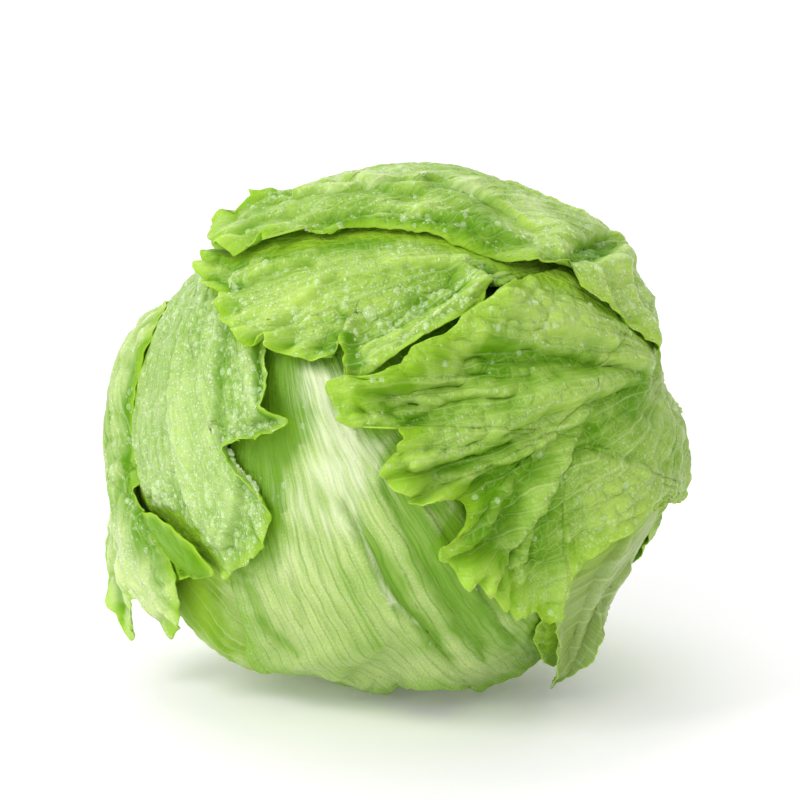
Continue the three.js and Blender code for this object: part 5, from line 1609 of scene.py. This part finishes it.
def buildDrops():
    draw = np.random.default_rng(dropLook["seed"])
    points, normals, weights = dropPlaces()
    chosen = draw.choice(len(points), dropLook["count"], replace=False, p=weights / weights.sum())
    size = dropLook["smallest"] + (dropLook["largest"] - dropLook["smallest"]) * draw.random(len(chosen)) ** 4
    ways = unit(points - middle)
    chosen = np.concatenate([chosen, [np.argmax(ways @ seen(x, y)[0]) for x, y, _ in drawnDrops]])
    size = np.concatenate([size, [radius for _, _, radius in drawnDrops]])
    allPoints, allFaces, start = [], [], 0
    for index, radius in zip(chosen, size):
        sides, levels = dropLook["facets"][0 if radius < dropLook["small"] else 1]
        normal = normals[index]
        side = unit(np.cross(normal, rightward if abs(normal[0]) < 0.8 else upward))
        other = np.cross(normal, side)
        stretch = 1 + dropLook["stretch"] * draw.random()
        turn = np.arange(sides) * turnFull / sides + draw.random() * 6
        rise = np.linspace(0, np.pi / 2, levels + 1)[:-1]
        flat = np.cos(rise)[:, None] * radius
        high = np.sin(rise) * radius * dropLook["height"]
        rings = (flat * np.cos(turn))[..., None] * side * stretch + (flat * np.sin(turn))[..., None] * other
        rings = rings + (high - dropLook["sunk"] * radius)[:, None, None] * normal
        low = -normal * dropLook["depth"] * radius
        tip = normal * (dropLook["height"] - dropLook["sunk"]) * radius
        allPoints.append(np.concatenate([rings.reshape(-1, 3), [low, tip]]) + points[index])
        for k in range(levels - 1):
            allFaces += ringFaces(start + k * sides, start + (k + 1) * sides, sides)
        i = np.arange(sides)
        j = (i + 1) % sides
        top, bottom = start + (levels - 1) * sides, start + levels * sides
        allFaces += rowsOf(top + i, top + j, np.full(sides, bottom + 1))
        allFaces += rowsOf(start + j, start + i, np.full(sides, bottom))
        start += levels * sides + 2
    piece = nodeMesh("water_drops", np.concatenate(allPoints), allFaces, dropMaterial())
    print("placed", len(chosen), "drops,", len(piece.data.polygons), "faces")


buildDrops()


# Pale floor that runs up into a pale wall behind
stageLook = {"half": 4.0, "back": 4.5, "bend": 1.2, "top": 3.5, "floor": (0.97, 0.945, 0.985), "glow": 0.1}


def buildStage():
    half, back, bend = stageLook["half"], stageLook["back"], stageLook["bend"]
    profile = [(-half, 0)]
    for a in np.linspace(0, np.pi / 2, 25):
        profile.append((back + bend * math.sin(a), bend * (1 - math.cos(a))))
    profile.append((back + bend, stageLook["top"]))
    points = [(side, y, z) for y, z in profile for side in (-half, half)]
    faces = [(2 * i, 2 * i + 1, 2 * i + 3, 2 * i + 2) for i in range(len(profile) - 1)]
    mesh = bpy.data.meshes.new("floor")
    mesh.from_pydata(points, [], faces)
    mesh.polygons.foreach_set("use_smooth", [True] * len(faces))
    floor = bpy.data.objects.new("floor", mesh)
    bpy.context.scene.collection.objects.link(floor)
    shader = {"Roughness": 0.9, "Specular IOR Level": 0.1, "Emission Color": (1, 1, 1, 1)}
    shader["Emission Strength"] = stageLook["glow"]
    material, _ = makeMaterial("paleFloor", stageLook["floor"], shader)
    mesh.materials.append(material)


# Soft lights: name, place, aim, width, height, power and colour
lightLook = [
    ("keyLeft", (-0.9, -0.6, 1.0), (0.0, 0.0, 0.08), 0.5, 0.5, 6.1, (1.0, 0.99, 0.97)),
    ("softLeft", (-0.9, -1.0, 0.5), (0.0, 0.0, 0.08), 1.0, 0.6, 2.8, (1.0, 1.0, 1.0)),
    ("fillFront", (0.0, -1.25, 1.0), (0.0, -0.05, 0.0), 1.2, 0.6, 4.5, (1.0, 1.0, 1.0)),
    ("topBack", (-0.15, 0.35, 1.25), (0.0, 0.0, 0.1), 0.9, 0.5, 2.6, (1.0, 1.0, 1.0)),
    ("farFloor", (0.0, 2.8, 2.0), (0.0, 2.8, 0.0), 5.0, 3.0, 50.0, (1.0, 1.0, 1.0)),
]
worldLook = {"colour": (1.0, 1.0, 1.0, 1), "strength": 0.62}


def buildLights():
    for name, spot, aim, width, height, power, colour in lightLook:
        data = bpy.data.lights.new(name, "AREA")
        data.shape = "RECTANGLE"
        data.size, data.size_y = width, height
        data.energy = power
        data.color = colour
        lamp = bpy.data.objects.new(name, data)
        lamp.location = spot
        lamp.rotation_euler = (Vector(aim) - Vector(spot)).to_track_quat("-Z", "Y").to_euler()
        bpy.context.scene.collection.objects.link(lamp)
    world = bpy.data.worlds.new("studio")
    world.use_nodes = True
    sky = world.node_tree.nodes["Background"].inputs
    sky[0].default_value, sky[1].default_value = worldLook["colour"], worldLook["strength"]
    bpy.context.scene.world = world
    bpy.context.scene.view_settings.view_transform = "Standard"


cameraLook = {"sensor": 36.0, "pictureWidth": 800, "nearest": 0.05, "farthest": 20}


def buildCamera():
    data = bpy.data.cameras.new("frontCamera")
    data.sensor_width = cameraLook["sensor"]
    across = cameraLook["pictureWidth"] / drawnView["pixelsPerMm"]
    data.lens = cameraLook["sensor"] * drawnView["distance"] / across
    data.clip_start, data.clip_end = cameraLook["nearest"], cameraLook["farthest"]
    camera = bpy.data.objects.new("frontCamera", data)
    axes = Matrix([rightward, upward, -ahead]).transposed().to_4x4()
    axes.translation = Vector(eye) * mm
    camera.matrix_world = axes
    bpy.context.scene.collection.objects.link(camera)
    bpy.context.scene.camera = camera


buildStage()
buildLights()
buildCamera()
print("set the floor, the lights and the camera")
